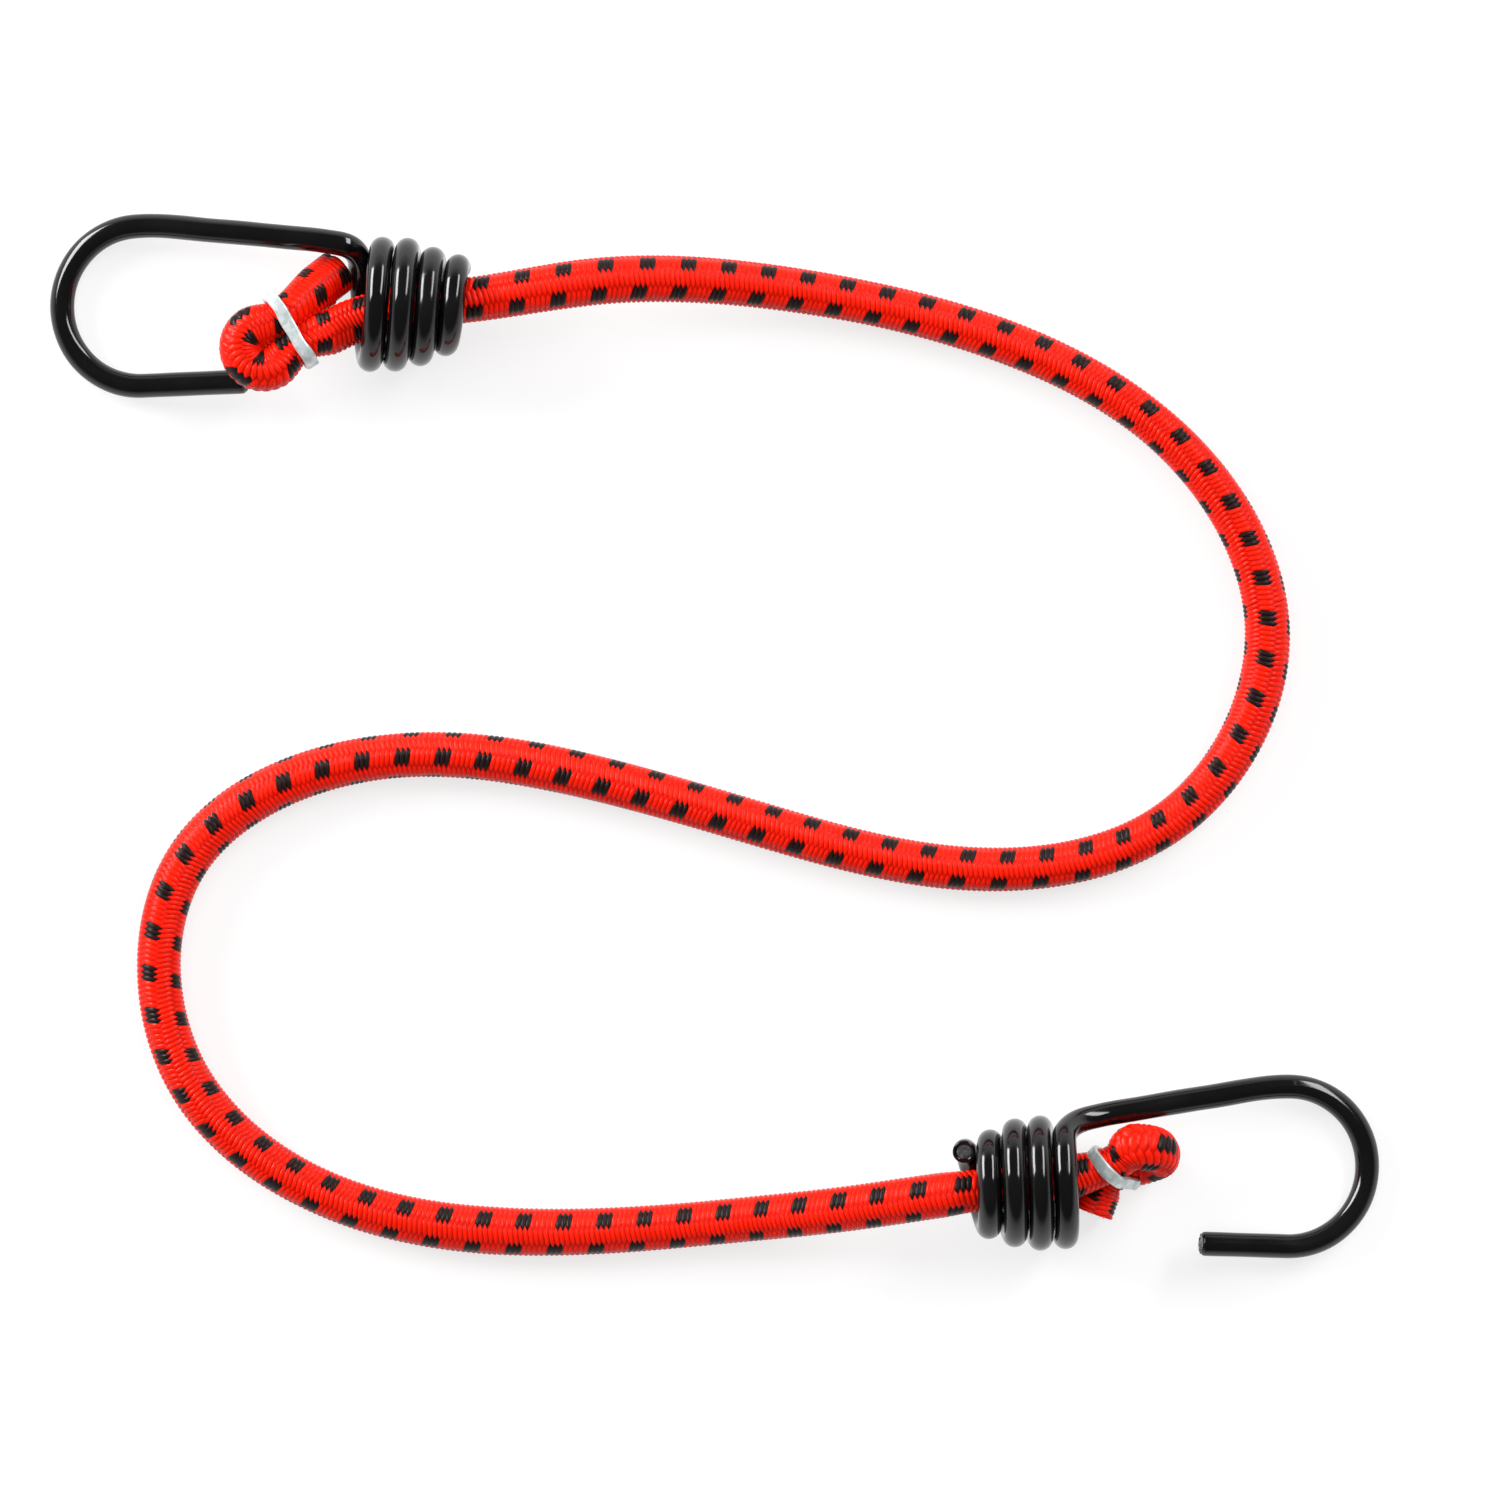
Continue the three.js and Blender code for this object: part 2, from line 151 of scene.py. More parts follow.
# Cut ends: the sheath's wall, the rubber strands in it and the loose fibres round it
SHEATH_WALL = 0.7
CUT_DEPTH = 5
STRAND_PITCH = 1.34
STRAND_SIDE = 1.22
STRAND_ROWS = (-1.5, -0.5, 0.5, 1.5)
STRAND_CORNER = 0.82
STRAND_RECESS = (-0.15, 0.45)
STRAND_BACK_GAP = 0.3
STRAND_MIDDLE = 2.5
STRAND_BEVEL = 0.12
STRAND_TIP = 0.86
FRAY_FIBRES = 84
FRAY_JITTER = 0.4
FRAY_INSETS = (0.05, 0.1)
FRAY_REACH = (0.25, 0.7)
FRAY_FLARE = (-0.35, 0.15)
FRAY_THICKNESS = (0.09, 0.16)
FRAY_BEND = 6
FRAY_ROOT = 0.35
FRAY_TAPER = 0.75
FRAY_BLACK = 0.2
FRAY_RISE = 0.9

# Wire hooks
WIRE_DIAMETER = 4.3
STEEL_DIAMETER = 2.8
JACKET_CLEARANCE = 0.1
LOOP_RADIUS = 14.75
LOOP_CENTRE = 41.1
LOOP_LAST_STEP = 67.5
LOOP_STEPS = 121
SHANK_CLOSING = 4
SHANK_SINK = 1
SHANK_END = 13
SHANK_END_SINK = 2.3
SHANK_STEPS = 40
BEND_MIDDLE = (6, 1.5, 0.3)
BEND_END = (1.6, 0.55, 1.7)
COIL_TURNS = 4.05
COIL_PITCH = 4.75
COIL_RADIUS = 10.2
COIL_END_RADIUS = 7
COIL_TAPER_START = 1.6
COIL_START = 0.09
COIL_LEAD_TURN = 0.02
COIL_STEPS = 720
REST_FLAT_DEPTH = 0.5
LEFT_HOOK = dict(
    x=-65.8, y=79.35, yaw=180, roll=180, rest_turn=0.25, tip_closing=2, tip_length=19.6,
    square_turns=0, lean=2.2,
)
RIGHT_HOOK = dict(
    x=65.7, y=-82.05, yaw=3.4, roll=0, rest_turn=0.75, tip_closing=5.5, tip_length=16.2,
    square_turns=0.8, lean=1.9,
)
WIRE_STEP = 0.9
WIRE_SIDES = 28
BORE_SIDES = 14
BORE_STEP = 2

# The hooks' coat: its uneven thickness, its rounded tip and its cut end
COAT_SWELL = 0.12
COAT_SINK = 0.022
COAT_WAVES = ((0.012, 0.61, 0), (0.01, 0.23, 2))
COAT_THINS = (9, 2)
TIP_RINGS = (0.12, 0.35, 0.62, 0.85)
TIP_ROUGHNESS = 0.09
TIP_SCATTER = 0.4
TIP_SINK = 0.12
TIP_EDGE = 0.45
TIP_EDGE_START = 0.1
TIP_EDGE_SHARES = (0, 0.35, 0.7)
COAT_BURR = 0.05
# Each ring of the coat's cut end: how much thinner, its share of the burr, its place along
COAT_END = ((0.03, 0.3, -0.12), (0.2, 1, 0))
# The wire's sheared face: each ring's size and place along, its slope and its roughness
SHEAR_RINGS = ((0.93, 0), (0.6, -0.03), (0.3, 0.02))
SHEAR_SLOPE = 0.12
SHEAR_ROUGHNESS = 0.03
SHEAR_RIM = 0.12
SHEAR_SET_BACK = 0.1

# Surfaces, with colours as on a screen and bumps as depth and strength. The marks are how fine the
# smudges, scratches and skin are, and one of them sets the roughness.
# Each yarn: a painted shade for the valleys between floats, darker than its own colour, then its
# own colour on the crests
RED_YARN = ((214, 15, 2), (255, 32, 7))
BLACK_YARN = ((12, 8, 8), (38, 25, 24))
YARN_ROUGHNESS = (0.18, 0.34)
YARN_SHINE = 0.12
YARN_BUMP = (0.06, 0.7)
# Black plastic coat, glossy, a little uneven, dulled where it was handled
COAT = dict(
    clean=(10, 10, 11), smudged=(16, 15, 17), marks=(90, 620, 380), bump=(0.02, 0.35),
    rough_mark="Smudges", roughness=(0.1, 0.16), scratch_roughness=0.12, shader={"IOR": 1.5},
)
# Galvanised clip wire: pale spangled zinc with dull grey patches and bright rubbed marks
ZINC = dict(
    clean=(204, 214, 216), spangled=(240, 244, 245), spangles=900, smudged=(176, 196, 194),
    scratched=(250, 251, 252), marks=(520, 1500, 2200), bump=(0.05, 0.6),
    rough_mark="Smudges", roughness=(0.3, 0.5), shader={"Metallic": 0.4},
)
# The wire's sheared ends: bright drawn steel with a torn, darker break
STEEL = dict(
    clean=(168, 176, 176), smudged=(116, 120, 118), scratched=(205, 212, 212),
    marks=(1400, 1800, 3000), bump=(0.06, 0.7), rough_mark="Skin", roughness=(0.3, 0.6),
    shader={"Metallic": 1},
)
# Natural latex strands, cream, dusty with talc
LATEX = dict(
    clean=(222, 205, 170), smudged=(238, 230, 211), marks=(900, 1200, 2600), bump=(0.05, 0.5),
    rough_mark="Skin", roughness=(0.6, 0.85),
    shader={"Specular IOR Level": 0.35, "Subsurface Weight": 0.08, "Subsurface Scale": 0.6 * MM},
)
SMUDGE_LEVELS = (0.42, 0.68)
SCRATCH_LEVELS = (0.66, 0.74)
SCRATCH_TURN = (0.4, 0.2, 0.7)
SCRATCH_STRETCH = (1, 0.06, 1)
FIBRES_PER_FLOAT = 9
FIBRE_TWIST = 0.35
FIBRE_PACE = 1.5
FIBRE_LEVELS = (0.3, 0.7)
FIBRE_SHADES = (0.9, 1.08)
TONE_SHADES = (0.93, 1.05)
# Rise levels where the valleys' painted shade gives way to the crest colour
SHADE_TO_CREST_LEVELS = (0.1, 0.85)

# Table, surroundings and lamps
TABLE_HALF = 4000
TABLE_LEVEL = -0.2
TABLE_GREY = 0.38
SEEN_TABLE_GREY = 0.34
TABLE_GLOW = 0.7
WALL_GLOWS = (0.9, 0.1)
WALL_HEIGHTS = (0.08, 0.5)
LAMP_METRES = 2.5
# Each lamp: the directions of its two ends, its width, its glow and whether glosses show it
LAMPS = {
    "left_soft_box": ((-0.803, 0.192, 0.564), (-0.678, 0.725, 0.116), 0.3, 18, True),
    "right_soft_box": ((0.57, 0.22, 0.79), (0.51, 0.82, 0.26), 0.2, 12, True),
    "ceiling_fill": ((0, -0.3, 0.9), (0, 0.6, 0.9), 0.9, 1.35, False),
}

# Maps: rows of each layout, the gaps round them and the spot that hidden faces share
BAKE_MAP = "OFBake"
YARN_MAP = "yarn"
BRAID_MAP_ROWS = 3
COAT_MAP_ROWS = 7
CLIP_MAP_ROWS = 4
MAP_EDGE = 0.01
MAP_MARGIN = 0.06
SPARE_SPOT = 0.004
QUAD_CORNERS = ((0, 0), (1, 0), (1, 1), (0, 1))

FLOAT = "NodeSocketFloat"
COLOUR = "NodeSocketColor"
SEED = 11


# Camera

def add_camera():
    data = bpy.data.cameras.new("overhead")
    data.lens = LENS
    data.sensor_width = SENSOR
    data.clip_end = SIGHT_METRES
    camera = bpy.data.objects.new("overhead", data)
    height = FRAME_WIDTH * MM * LENS / SENSOR
    camera.location = (FRAME_CENTRE[0] * MM, FRAME_CENTRE[1] * MM, height)
    bpy.context.collection.objects.link(camera)
    bpy.context.scene.camera = camera


# Curves

def unit(vector):
    vector = np.asarray(vector, float)
    return vector / np.linalg.norm(vector, axis=-1, keepdims=True)


def smoothstep(value, low, high):
    share = np.clip((value - low) / (high - low), 0, 1)
    return share * share * (3 - 2 * share)


def waves(distance, parts):
    return sum(height * np.sin(distance * pace + phase) for height, pace, phase in parts)


def even_tangents(points, first, last):
    """Tangents at the start and end of each span, such that the bend changes evenly."""
    chords = np.diff(points, axis=0)
    lengths = np.linalg.norm(chords, axis=1)[:, None]
    pulls = chords / lengths**2
    matrix = np.eye(len(points))
    wanted = np.zeros_like(points)
    wanted[0], wanted[-1] = unit(first), unit(last)
    for k in range(1, len(points) - 1):
        before, after = 1 / lengths[k - 1, 0], 1 / lengths[k, 0]
        matrix[k, k - 1 : k + 2] = before, 2 * (before + after), after
        wanted[k] = 3 * (pulls[k - 1] + pulls[k])
    ways = np.linalg.solve(matrix, wanted)
    return ways[:-1] * lengths, ways[1:] * lengths


def smooth_curve(points, steps, even=None):
    """Points on a smooth curve through points, and where each lies in spans from the first point.

    Between the two points that even names, the bend seen from above changes evenly.
    """
    points = np.asarray(points, float)
    ends = np.vstack([2 * points[0] - points[1], points, 2 * points[-1] - points[-2]])
    leaves = []
    arrives = []
    for k in range(len(points) - 1):
        p0, p1, p2, p3 = ends[k : k + 4]
        d0, d1, d2 = (math.sqrt(np.linalg.norm(b - a)) for a, b in ((p0, p1), (p1, p2), (p2, p3)))
        leave = ((p1 - p0) / d0 - (p2 - p0) / (d0 + d1) + (p2 - p1) / d1) * d1
        arrive = ((p2 - p1) / d1 - (p3 - p1) / (d1 + d2) + (p3 - p2) / d2) * d1
        # Tangents as long as on a circle's arc keep the curve round between far points
        corner = math.acos(np.clip(unit(leave).dot(unit(arrive)), -1, 1))
        speed = np.linalg.norm(p2 - p1) / math.cos(corner / 4) ** 2
        leaves.append(unit(leave) * speed)
        arrives.append(unit(arrive) * speed)
    leaves, arrives = np.array(leaves), np.array(arrives)
    if even:
        first, last = even
        run = slice(first, last)
        ways = leaves[first, :2], arrives[last - 1, :2]
        leaves[run, :2], arrives[run, :2] = even_tangents(points[first : last + 1, :2], *ways)

    places = []
    spans = []
    for k, (leave, arrive) in enumerate(zip(leaves, arrives)):
        p1, p2 = points[k : k + 2]
        t = (np.arange(steps + (k == len(points) - 2)) / steps)[:, None]
        cubic = 2 * p1 - 2 * p2 + leave + arrive
        square = -3 * p1 + 3 * p2 - 2 * leave - arrive
        places.append(p1 + leave * t + square * t**2 + cubic * t**3)
        spans.append(k + t[:, 0])
    return np.vstack(places), np.concatenate(spans)


def distances_along(places):
    return np.concatenate([[0], np.cumsum(np.linalg.norm(np.diff(places, axis=0), axis=1))])


def at_distances(distances, values, wanted):
    columns = [np.interp(wanted, distances, values[:, i]) for i in range(values.shape[1])]
    return np.stack(columns, axis=-1)


def carried_normals(directions, first):
    """Normals that follow the line without twisting about it."""
    normals = []
    normal = Vector(first)
    for i, direction in enumerate(directions):
        here = Vector(direction)
        if i > 0:
            normal.rotate(Vector(directions[i - 1]).rotation_difference(here))
        normal = (normal - here * normal.dot(here)).normalized()
        normals.append(tuple(normal))
    return np.array(normals)


# Meshes and their maps

def make_piece(name, points, faces, materials, face_materials=()):
    """A smooth mesh piece from points in millimetres. The last faces may go without a material."""
    mesh = bpy.data.meshes.new(name)
    mesh.from_pydata((np.asarray(points) * MM).tolist(), [], faces)
    for material in materials:
        mesh.materials.append(material)
    slots = np.zeros(len(mesh.polygons), np.int32)
    slots[: len(face_materials)] = face_materials
    mesh.polygons.foreach_set("material_index", slots)
    mesh.polygons.foreach_set("use_smooth", np.full(len(slots), True))
    mesh.update()
    piece = bpy.data.objects.new(name, mesh)
    bpy.context.collection.objects.link(piece)
    return piece


def put_map(piece, name, corners, spare):
    """A map with the first faces' corners as given and all the others at one spare spot."""
    layer = piece.data.uv_layers.new(name=name, do_init=False)
    filled = np.full((len(piece.data.loops), 2), spare, np.float32)
    filled[: len(corners)] = corners
    layer.uv.foreach_set("vector", filled.ravel())


def put_values(piece, name, domain, values, spare):
    """A value for each face or point, the first as given and all the others spare."""
    attribute = piece.data.attributes.new(name, "FLOAT", domain)
    filled = np.full(len(attribute.data), spare, np.float32)
    filled[: len(values)] = values
    attribute.data.foreach_set("value", filled)


def grid(rings, sides):
    """The ring and the side of each spot on a tube, ring by ring."""
    ring, side = np.meshgrid(np.arange(rings), np.arange(sides), indexing="ij")
    return ring.ravel(), side.ravel()


def strip_map(ring, side, rings, sides, rows):
    """Where quad corners of a long tube go when it is slit, cut into equal rows and laid flat."""
    per_row = -(-rings // rows)
    row = np.minimum(ring // per_row, rows - 1)
    corners = []
    for next_ring, next_side in QUAD_CORNERS:
        u = MAP_EDGE + (1 - 2 * MAP_EDGE) * (ring - row * per_row + next_ring) / per_row
        v = (row + MAP_MARGIN + (1 - 2 * MAP_MARGIN) * (side + next_side) / sides) / rows
        corners.append(np.stack([u, v], axis=-1))
    return np.stack(corners, axis=-2)


def tube_faces(rings, sides):
    ring, side = grid(rings - 1, sides)
    a = ring * sides + side
    b = ring * sides + (side + 1) % sides
    return np.stack([a, b, b + sides, a + sides], axis=-1).tolist()


def closed_tube(rings, sides):
    """Faces of a tube with a flat face at each end."""
    first = list(range(sides))
    last = [(rings - 1) * sides + i for i in first]
    return tube_faces(rings, sides) + [first[::-1], last]


def shifted(faces, start, flip=False):
    """Faces on the points from start on, turned over where flip says so."""
    step = -1 if flip else 1
    return [[start + i for i in face[::step]] for face in faces]


def tube_map(piece, rings, sides, rows):
    """A flat layout for the outside of a tube, and one spare spot for every other face."""
    laid = strip_map(*grid(rings - 1, sides), rings - 1, sides, rows)
    # These quads run round first and along second
    put_map(piece, BAKE_MAP, laid[:, [0, 3, 2, 1]].reshape(-1, 2), SPARE_SPOT)


# Cord

def fold_frame(fold):
    middle = np.array(fold["clip"], float)
    along = unit(fold["along"])
    across = np.array(fold["across"], float)
    across = unit(across - along * across.dot(along))
    return middle, along, across


def fold_points(fold):
    """A fold's points and how far the clip pinches each: in through the clip, round and out."""
    middle, along, across = fold_frame(fold)
    bend = middle + along * fold["reach"]

    def in_clip(sign, end):
        leg = middle + across * sign * LEG_SPACING / 2
        return leg + along * end * CLIP_WIDTH * PINCH_SPREAD, PINCH

    points = [in_clip(-1, -1), in_clip(-1, 1)]
    for i in range(FOLD_STEPS + 1):
        angle = math.pi * (i / FOLD_STEPS - 0.5)
        out = across * math.sin(angle) + along * math.cos(angle)
        points.append((bend + FOLD_RADIUS * out, fold["swell"]))
    return points + [in_clip(1, 1), in_clip(1, -1)]


def turn_bend(fold, places):
    """Turns the bend beyond a fold's clip about an upright axis, as it sprang back when clipped."""
    middle, along, _ = fold_frame(fold)
    pivot = middle + along * TURN_PIVOT
    from_clip = places - middle
    near = np.linalg.norm(from_clip, axis=1) < TURN_REACH
    angle = -np.radians(fold["turn"]) * near * smoothstep(from_clip @ along, TURN_START, TURN_FULL)
    x, y, z = (places - pivot).T
    cos, sin = np.cos(angle), np.sin(angle)
    return pivot + np.stack([x * cos - y * sin, x * sin + y * cos, z], axis=-1)


class CordLine:
    """The cord's centre line: place, up and left by distance from the left cut end."""

    def __init__(self):
        def plain(points, scale=1):
            return [(point, scale) for point in points]

        left_tail = plain(LEFT_TAIL, TAIL_SWELL)
        left = left_tail + fold_points(LEFT_FOLD) + plain(LEFT_NECK + LEFT_SEAM)
        before_fold = plain(RUN + RIGHT_SEAM + RIGHT_NECK)
        route = left + before_fold + fold_points(RIGHT_FOLD) + plain(RIGHT_TAIL, TAIL_SWELL)
        seams = (len(left) - 1, len(left) + len(RUN))
        self.places, spans = smooth_curve([point for point, _ in route], ROUTE_STEPS, seams)
        for fold in (LEFT_FOLD, RIGHT_FOLD):
            self.places = turn_bend(fold, self.places)
        self.distances = distances_along(self.places)
        self.length = self.distances[-1]
        self.cuts = (LEFT_TRIM, self.length)
        self.pinch = np.interp(spans, np.arange(len(route)), [pinch for _, pinch in route])
        self.pinch *= np.interp(self.distances, *zip(*GIRTH))
        directions = unit(np.gradient(self.places, axis=0))
        upright = unit(np.array([0, 0, 1]) - directions * directions[:, 2:])
        neck = np.searchsorted(spans, len(left) + len(before_fold) - 2)
        carried = carried_normals(directions[neck:], upright[neck])
        self.up = np.vstack([upright[:neck], carried])
        self.left = np.cross(self.up, directions)
        self.directions = directions
        # Where each fold begins, turns and ends, in points of the route
        half_fold = (FOLD_STEPS + 4) / 2
        right_start = len(left) + len(before_fold)
        self.folds = []
        for fold, first in ((LEFT_FOLD, len(left_tail)), (RIGHT_FOLD, right_start)):
            marks = (first - 1, first + half_fold, first + 2 * half_fold + 1)
            self.folds.append((fold, *np.interp(marks, spans, self.distances)))
        self.fill_shoulders()

    def fill_shoulders(self):
        """Lets the cord swell again close behind each clip, on its way into the bend."""
        for fold, begin, _, end in self.folds:
            middle, along, _ = fold_frame(fold)
            on_fold = (self.distances > begin) & (self.distances < end)
            past = (self.places - middle) @ along
            rise = smoothstep(past, TURN_START, SHOULDER_AT)
            rise = rise * (1 - smoothstep(past, SHOULDER_AT, 2 * SHOULDER_AT))
            self.pinch += fold["shoulder"] * on_fold * rise

    def press_legs(self, distance, points):
        """Presses the two legs of each fold flat where they meet, instead of into each other."""
        for fold, begin, turn, end in self.folds:
            middle, along, across = fold_frame(fold)
            on_leg = (distance > begin) & (distance < end)
            sign = np.where(on_leg, np.where(distance <= turn, -1, 1), 0)
            apart = sign * ((points - middle) @ across)
            inside = 1 - smoothstep((points - middle) @ along, *fold["closed"])
            near = 1 - smoothstep(apart, 0, LEG_PULL_REACH)
            pressed = np.maximum(apart - fold["pull"] * inside * near, LEG_GAP)
            points = points + ((pressed - apart) * sign)[:, None] * across
        return points

    def spread_bends(self, distance, offsets):
        """Flattens the cord where it turns back: wider across the bend's own plane."""
        for fold, begin, turn, end in self.folds:
            _, along, across = fold_frame(fold)
            through = np.cross(across, along)
            fade = [share * (end - begin) / 2 for share in SPREAD_FADE]
            share = fold["spread"] * (1 - smoothstep(np.abs(distance - turn), *fade))
            offsets = offsets + (share * (offsets @ through))[:, None] * through
        return offsets

    def surface(self, distance, angle, radius):
        """Points at a distance along the cord, an angle from up towards the left, and a radius.

        The cord is flat where it lies on the table.
        """
        place = at_distances(self.distances, self.places, distance)
        up = at_distances(self.distances, self.up, distance)
        left = at_distances(self.distances, self.left, distance)
        pinched = (radius * np.interp(distance, self.distances, self.pinch))[:, None]
        turn = np.radians(angle)[:, None]
        offsets = self.spread_bends(distance, pinched * (up * np.cos(turn) + left * np.sin(turn)))
        points = self.press_legs(distance, place + offsets)
        points[:, 2] = np.maximum(points[:, 2], 0)
        return points

    def path(self, start, end):
        wanted = np.linspace(start, end, max(2, round((end - start) / PATH_STEP)))
        return at_distances(self.distances, self.places, wanted) * MM


def braid_twist(distance):
    return np.interp(distance, *zip(*BRAID_TWIST))


def braid_surface(line, first_ring, last_ring):
    """Vertices of the braid and how far each stands up between the valleys and the crests."""
    ring, side = grid(last_ring + 1 - first_ring, COLUMNS * COLUMN_ROWS)
    rib = (first_ring + ring) / RIB_RINGS
    column = side // COLUMN_ROWS
    row = side % COLUMN_ROWS
    share = row / COLUMN_ROWS
    way = np.where(column % 2 == 0, 1, -1)
    tooth = 1 - 4 * np.abs(rib - np.round(rib))
    reach = TOOTH * tooth * way * (2 * share - 1)
    lean = FLOAT_LEAN * way * (share - 0.5)
    distance = np.clip((rib + lean) * RIB_PITCH, *line.cuts)
    angle = braid_twist(distance) + (column + share - 0.5 + reach) * 360 / COLUMNS
    across = np.where(way > 0, rib - np.round(rib), rib - np.floor(rib) - 0.5)
    crown = np.sqrt(np.clip(1 - (2 * across) ** 2, 0, 1))
    rise = np.where(row == 0, FLOAT_DIVE[0], crown * FLOAT_DIVE[row])
    radius = BRAID_RADIUS - YARN_RISE * (1 - rise)
    return line.surface(distance, angle, radius), rise


def end_cap(line, end_ring, outward, cut):
    """Points and faces that close an end: a plain disc, or the sheath's flat cut and its bore.

    The faces count the points of the end's own ring first.
    """
    sides = len(end_ring)
    corner = np.arange(sides)
    following = (corner + 1) % sides
    rims = []
    if cut is not None:
        inside = -CUT_DEPTH if outward else CUT_DEPTH
        angle = corner * 360 / sides + braid_twist(cut) - 180 / COLUMNS
        bore = np.full(sides, CORD_DIAMETER / 2 - SHEATH_WALL)
        rims = [line.surface(np.full(sides, cut + depth), angle, bore) for depth in (0, inside)]
    last = len(rims) * sides
    fan = np.stack([last + corner, last + following, np.full(sides, last + sides)], axis=-1)
    faces = tube_faces(len(rims) + 1, sides) + fan.tolist()
    centre = [end_ring, *rims][-1].mean(axis=0)
    return np.vstack([*rims, centre[None]]), shifted(faces, 0, outward)


def braid_piece(name, line, first_ring, last_ring, cuts, materials):
    points, rise = braid_surface(line, first_ring, last_ring)
    rings = last_ring - first_ring
    sides = COLUMNS * COLUMN_ROWS
    ring, side = grid(rings, sides)
    a = ring * sides + side
    b = ring * sides + (side + 1) % sides
    faces = np.stack([a, a + sides, b + sides, b], axis=-1).tolist()

    # Which float each face belongs to, and whether its yarn is black
    column = side // COLUMN_ROWS
    row = side % COLUMN_ROWS
    rightward = column % 2 == 0
    rung = ring + first_ring + np.where(rightward, RIB_RINGS // 2, 0)
    yarn = rung // RIB_RINGS
    step = rung % RIB_RINGS
    black = rightward & ((yarn - BLACK_START - column) % YARNS < BLACK_YARNS)

    # The two ends: a cut one at each end of the cord, hidden discs where pieces meet
    blocks = [points]
    count = len(points)
    for first, cut in zip((0, count - sides), cuts):
        cap_points, cap = end_cap(line, points[first : first + sides], first > 0, cut)
        after = count - sides
        faces += [[i + (first if i < sides else after) for i in face] for face in cap]
        blocks.append(cap_points)
        count += len(cap_points)
    piece = make_piece(name, np.vstack(blocks), faces, materials, black)

    # Each yarn float has its own shade, and its own map: across it and along it
    rng = np.random.default_rng(SEED)
    shade = rng.random((COLUMNS, FLOAT_SHADES))
    put_values(piece, "tone", "FACE", shade[column, yarn % FLOAT_SHADES], EVEN_TONE)
    # How far each point stands up; low points get the valleys' painted shade
    put_values(piece, "rise", "POINT", rise, CAP_RISE)
    corners = []
    for next_ring, next_row in QUAD_CORNERS:
        u = yarn * FLOAT_MAP_STEP[0] + (step + next_ring) / RIB_RINGS
        v = column * FLOAT_MAP_STEP[1] + (row + next_row) / COLUMN_ROWS
        corners.append(np.stack([u, v], axis=-1))
    put_map(piece, YARN_MAP, np.stack(corners, axis=-2).reshape(-1, 2), 0.5)
    laid = strip_map(ring, side, rings, sides, BRAID_MAP_ROWS)
    put_map(piece, BAKE_MAP, laid.reshape(-1, 2), SPARE_SPOT)
    return piece


def rubber_ends(name, line, outward, material):
    """The twelve square rubber strands where the cord is cut, each cut a little differently."""
    rng = np.random.default_rng(SEED + outward)
    cut = line.cuts[outward]
    inward = -1 if outward else 1
    cells = [(a, b) for a in STRAND_ROWS for b in STRAND_ROWS if abs(a * b) < 2]
    half = STRAND_SIDE / 2
    soft = half * STRAND_CORNER
    outline = np.array([
        (half, -soft), (half, soft), (soft, half), (-soft, half),
        (-half, soft), (-half, -soft), (-soft, -half), (soft, -half),
    ])
    sides = len(outline)
    points = []
    faces = []
    for cell in cells:
        start = len(points)
        recess = rng.uniform(*STRAND_RECESS)
        depths = (CUT_DEPTH - STRAND_BACK_GAP, STRAND_MIDDLE, recess + STRAND_BEVEL, recess)
        for depth, scale in zip(depths, (1, 1, 1, STRAND_TIP)):
            corner = outline * scale + np.array(cell) * STRAND_PITCH
            angle = np.degrees(np.arctan2(corner[:, 1], corner[:, 0]))
            distance = np.full(sides, cut + inward * depth)
            points += line.surface(distance, angle, np.hypot(*corner.T)).tolist()
        faces += shifted(closed_tube(len(depths), sides), start, outward)
    return make_piece(name, points, faces, [material])


def frayed_yarn(name, line, outward, materials):
    """Short loose fibres of the sheath's yarns standing out round a cut end."""
    rng = np.random.default_rng(SEED + 7 + outward)
    cut = line.cuts[outward]
    inward = -1 if outward else 1
    tip = line.directions[-1] if outward else -line.directions[0]
    low, high = FRAY_INSETS
    roots = (CORD_DIAMETER / 2 - SHEATH_WALL + low, CORD_DIAMETER / 2 - high)
    section = np.radians([0, 120, 240])
    sides = len(section)
    shares = (0, 0.5, 1)
    fibre_faces = closed_tube(len(shares), sides)
    points = []
    faces = []
    face_materials = []
    for i in range(FRAY_FIBRES):
        angle = 360 * (i + rng.uniform(-FRAY_JITTER, FRAY_JITTER)) / FRAY_FIBRES
        root = rng.uniform(*roots)
        reach = rng.uniform(*FRAY_REACH)
        flare = rng.uniform(*FRAY_FLARE)
        thick = rng.uniform(*FRAY_THICKNESS)
        bend = rng.uniform(-FRAY_BEND, FRAY_BEND)
        faces += shifted(fibre_faces, len(points), outward)
        for share in shares:
            size = thick * (1 - FRAY_TAPER * share)
            out = reach * share - FRAY_ROOT
            distance = np.full(sides, np.clip(cut - inward * out, *line.cuts))
            turn = angle + bend * share**2 + size / root * np.degrees(np.sin(section))
            radius = root + flare * share**2 + size * np.cos(section)
            points += (line.surface(distance, turn, radius) + tip * max(0, out)).tolist()
        face_materials += [int(rng.random() < FRAY_BLACK)] * len(fibre_faces)
    piece = make_piece(name, points, faces, materials, face_materials)
    put_values(piece, "tone", "FACE", [], EVEN_TONE)
    put_values(piece, "rise", "POINT", [], FRAY_RISE)
    return piece


# Wire hooks

def coil_point(hook, turn):
    angle = 2 * np.pi * turn
    taper = smoothstep(turn, COIL_TAPER_START, COIL_TURNS)
    radius = COIL_RADIUS + (COIL_END_RADIUS - COIL_RADIUS) * taper
    # A square turn runs straight across on one side and takes its step along on the other
    travel = turn + hook["square_turns"] * np.cos(angle) / (2 * np.pi)
    return np.stack([-COIL_PITCH * travel, radius * np.cos(angle), radius * np.sin(angle)], axis=-1)


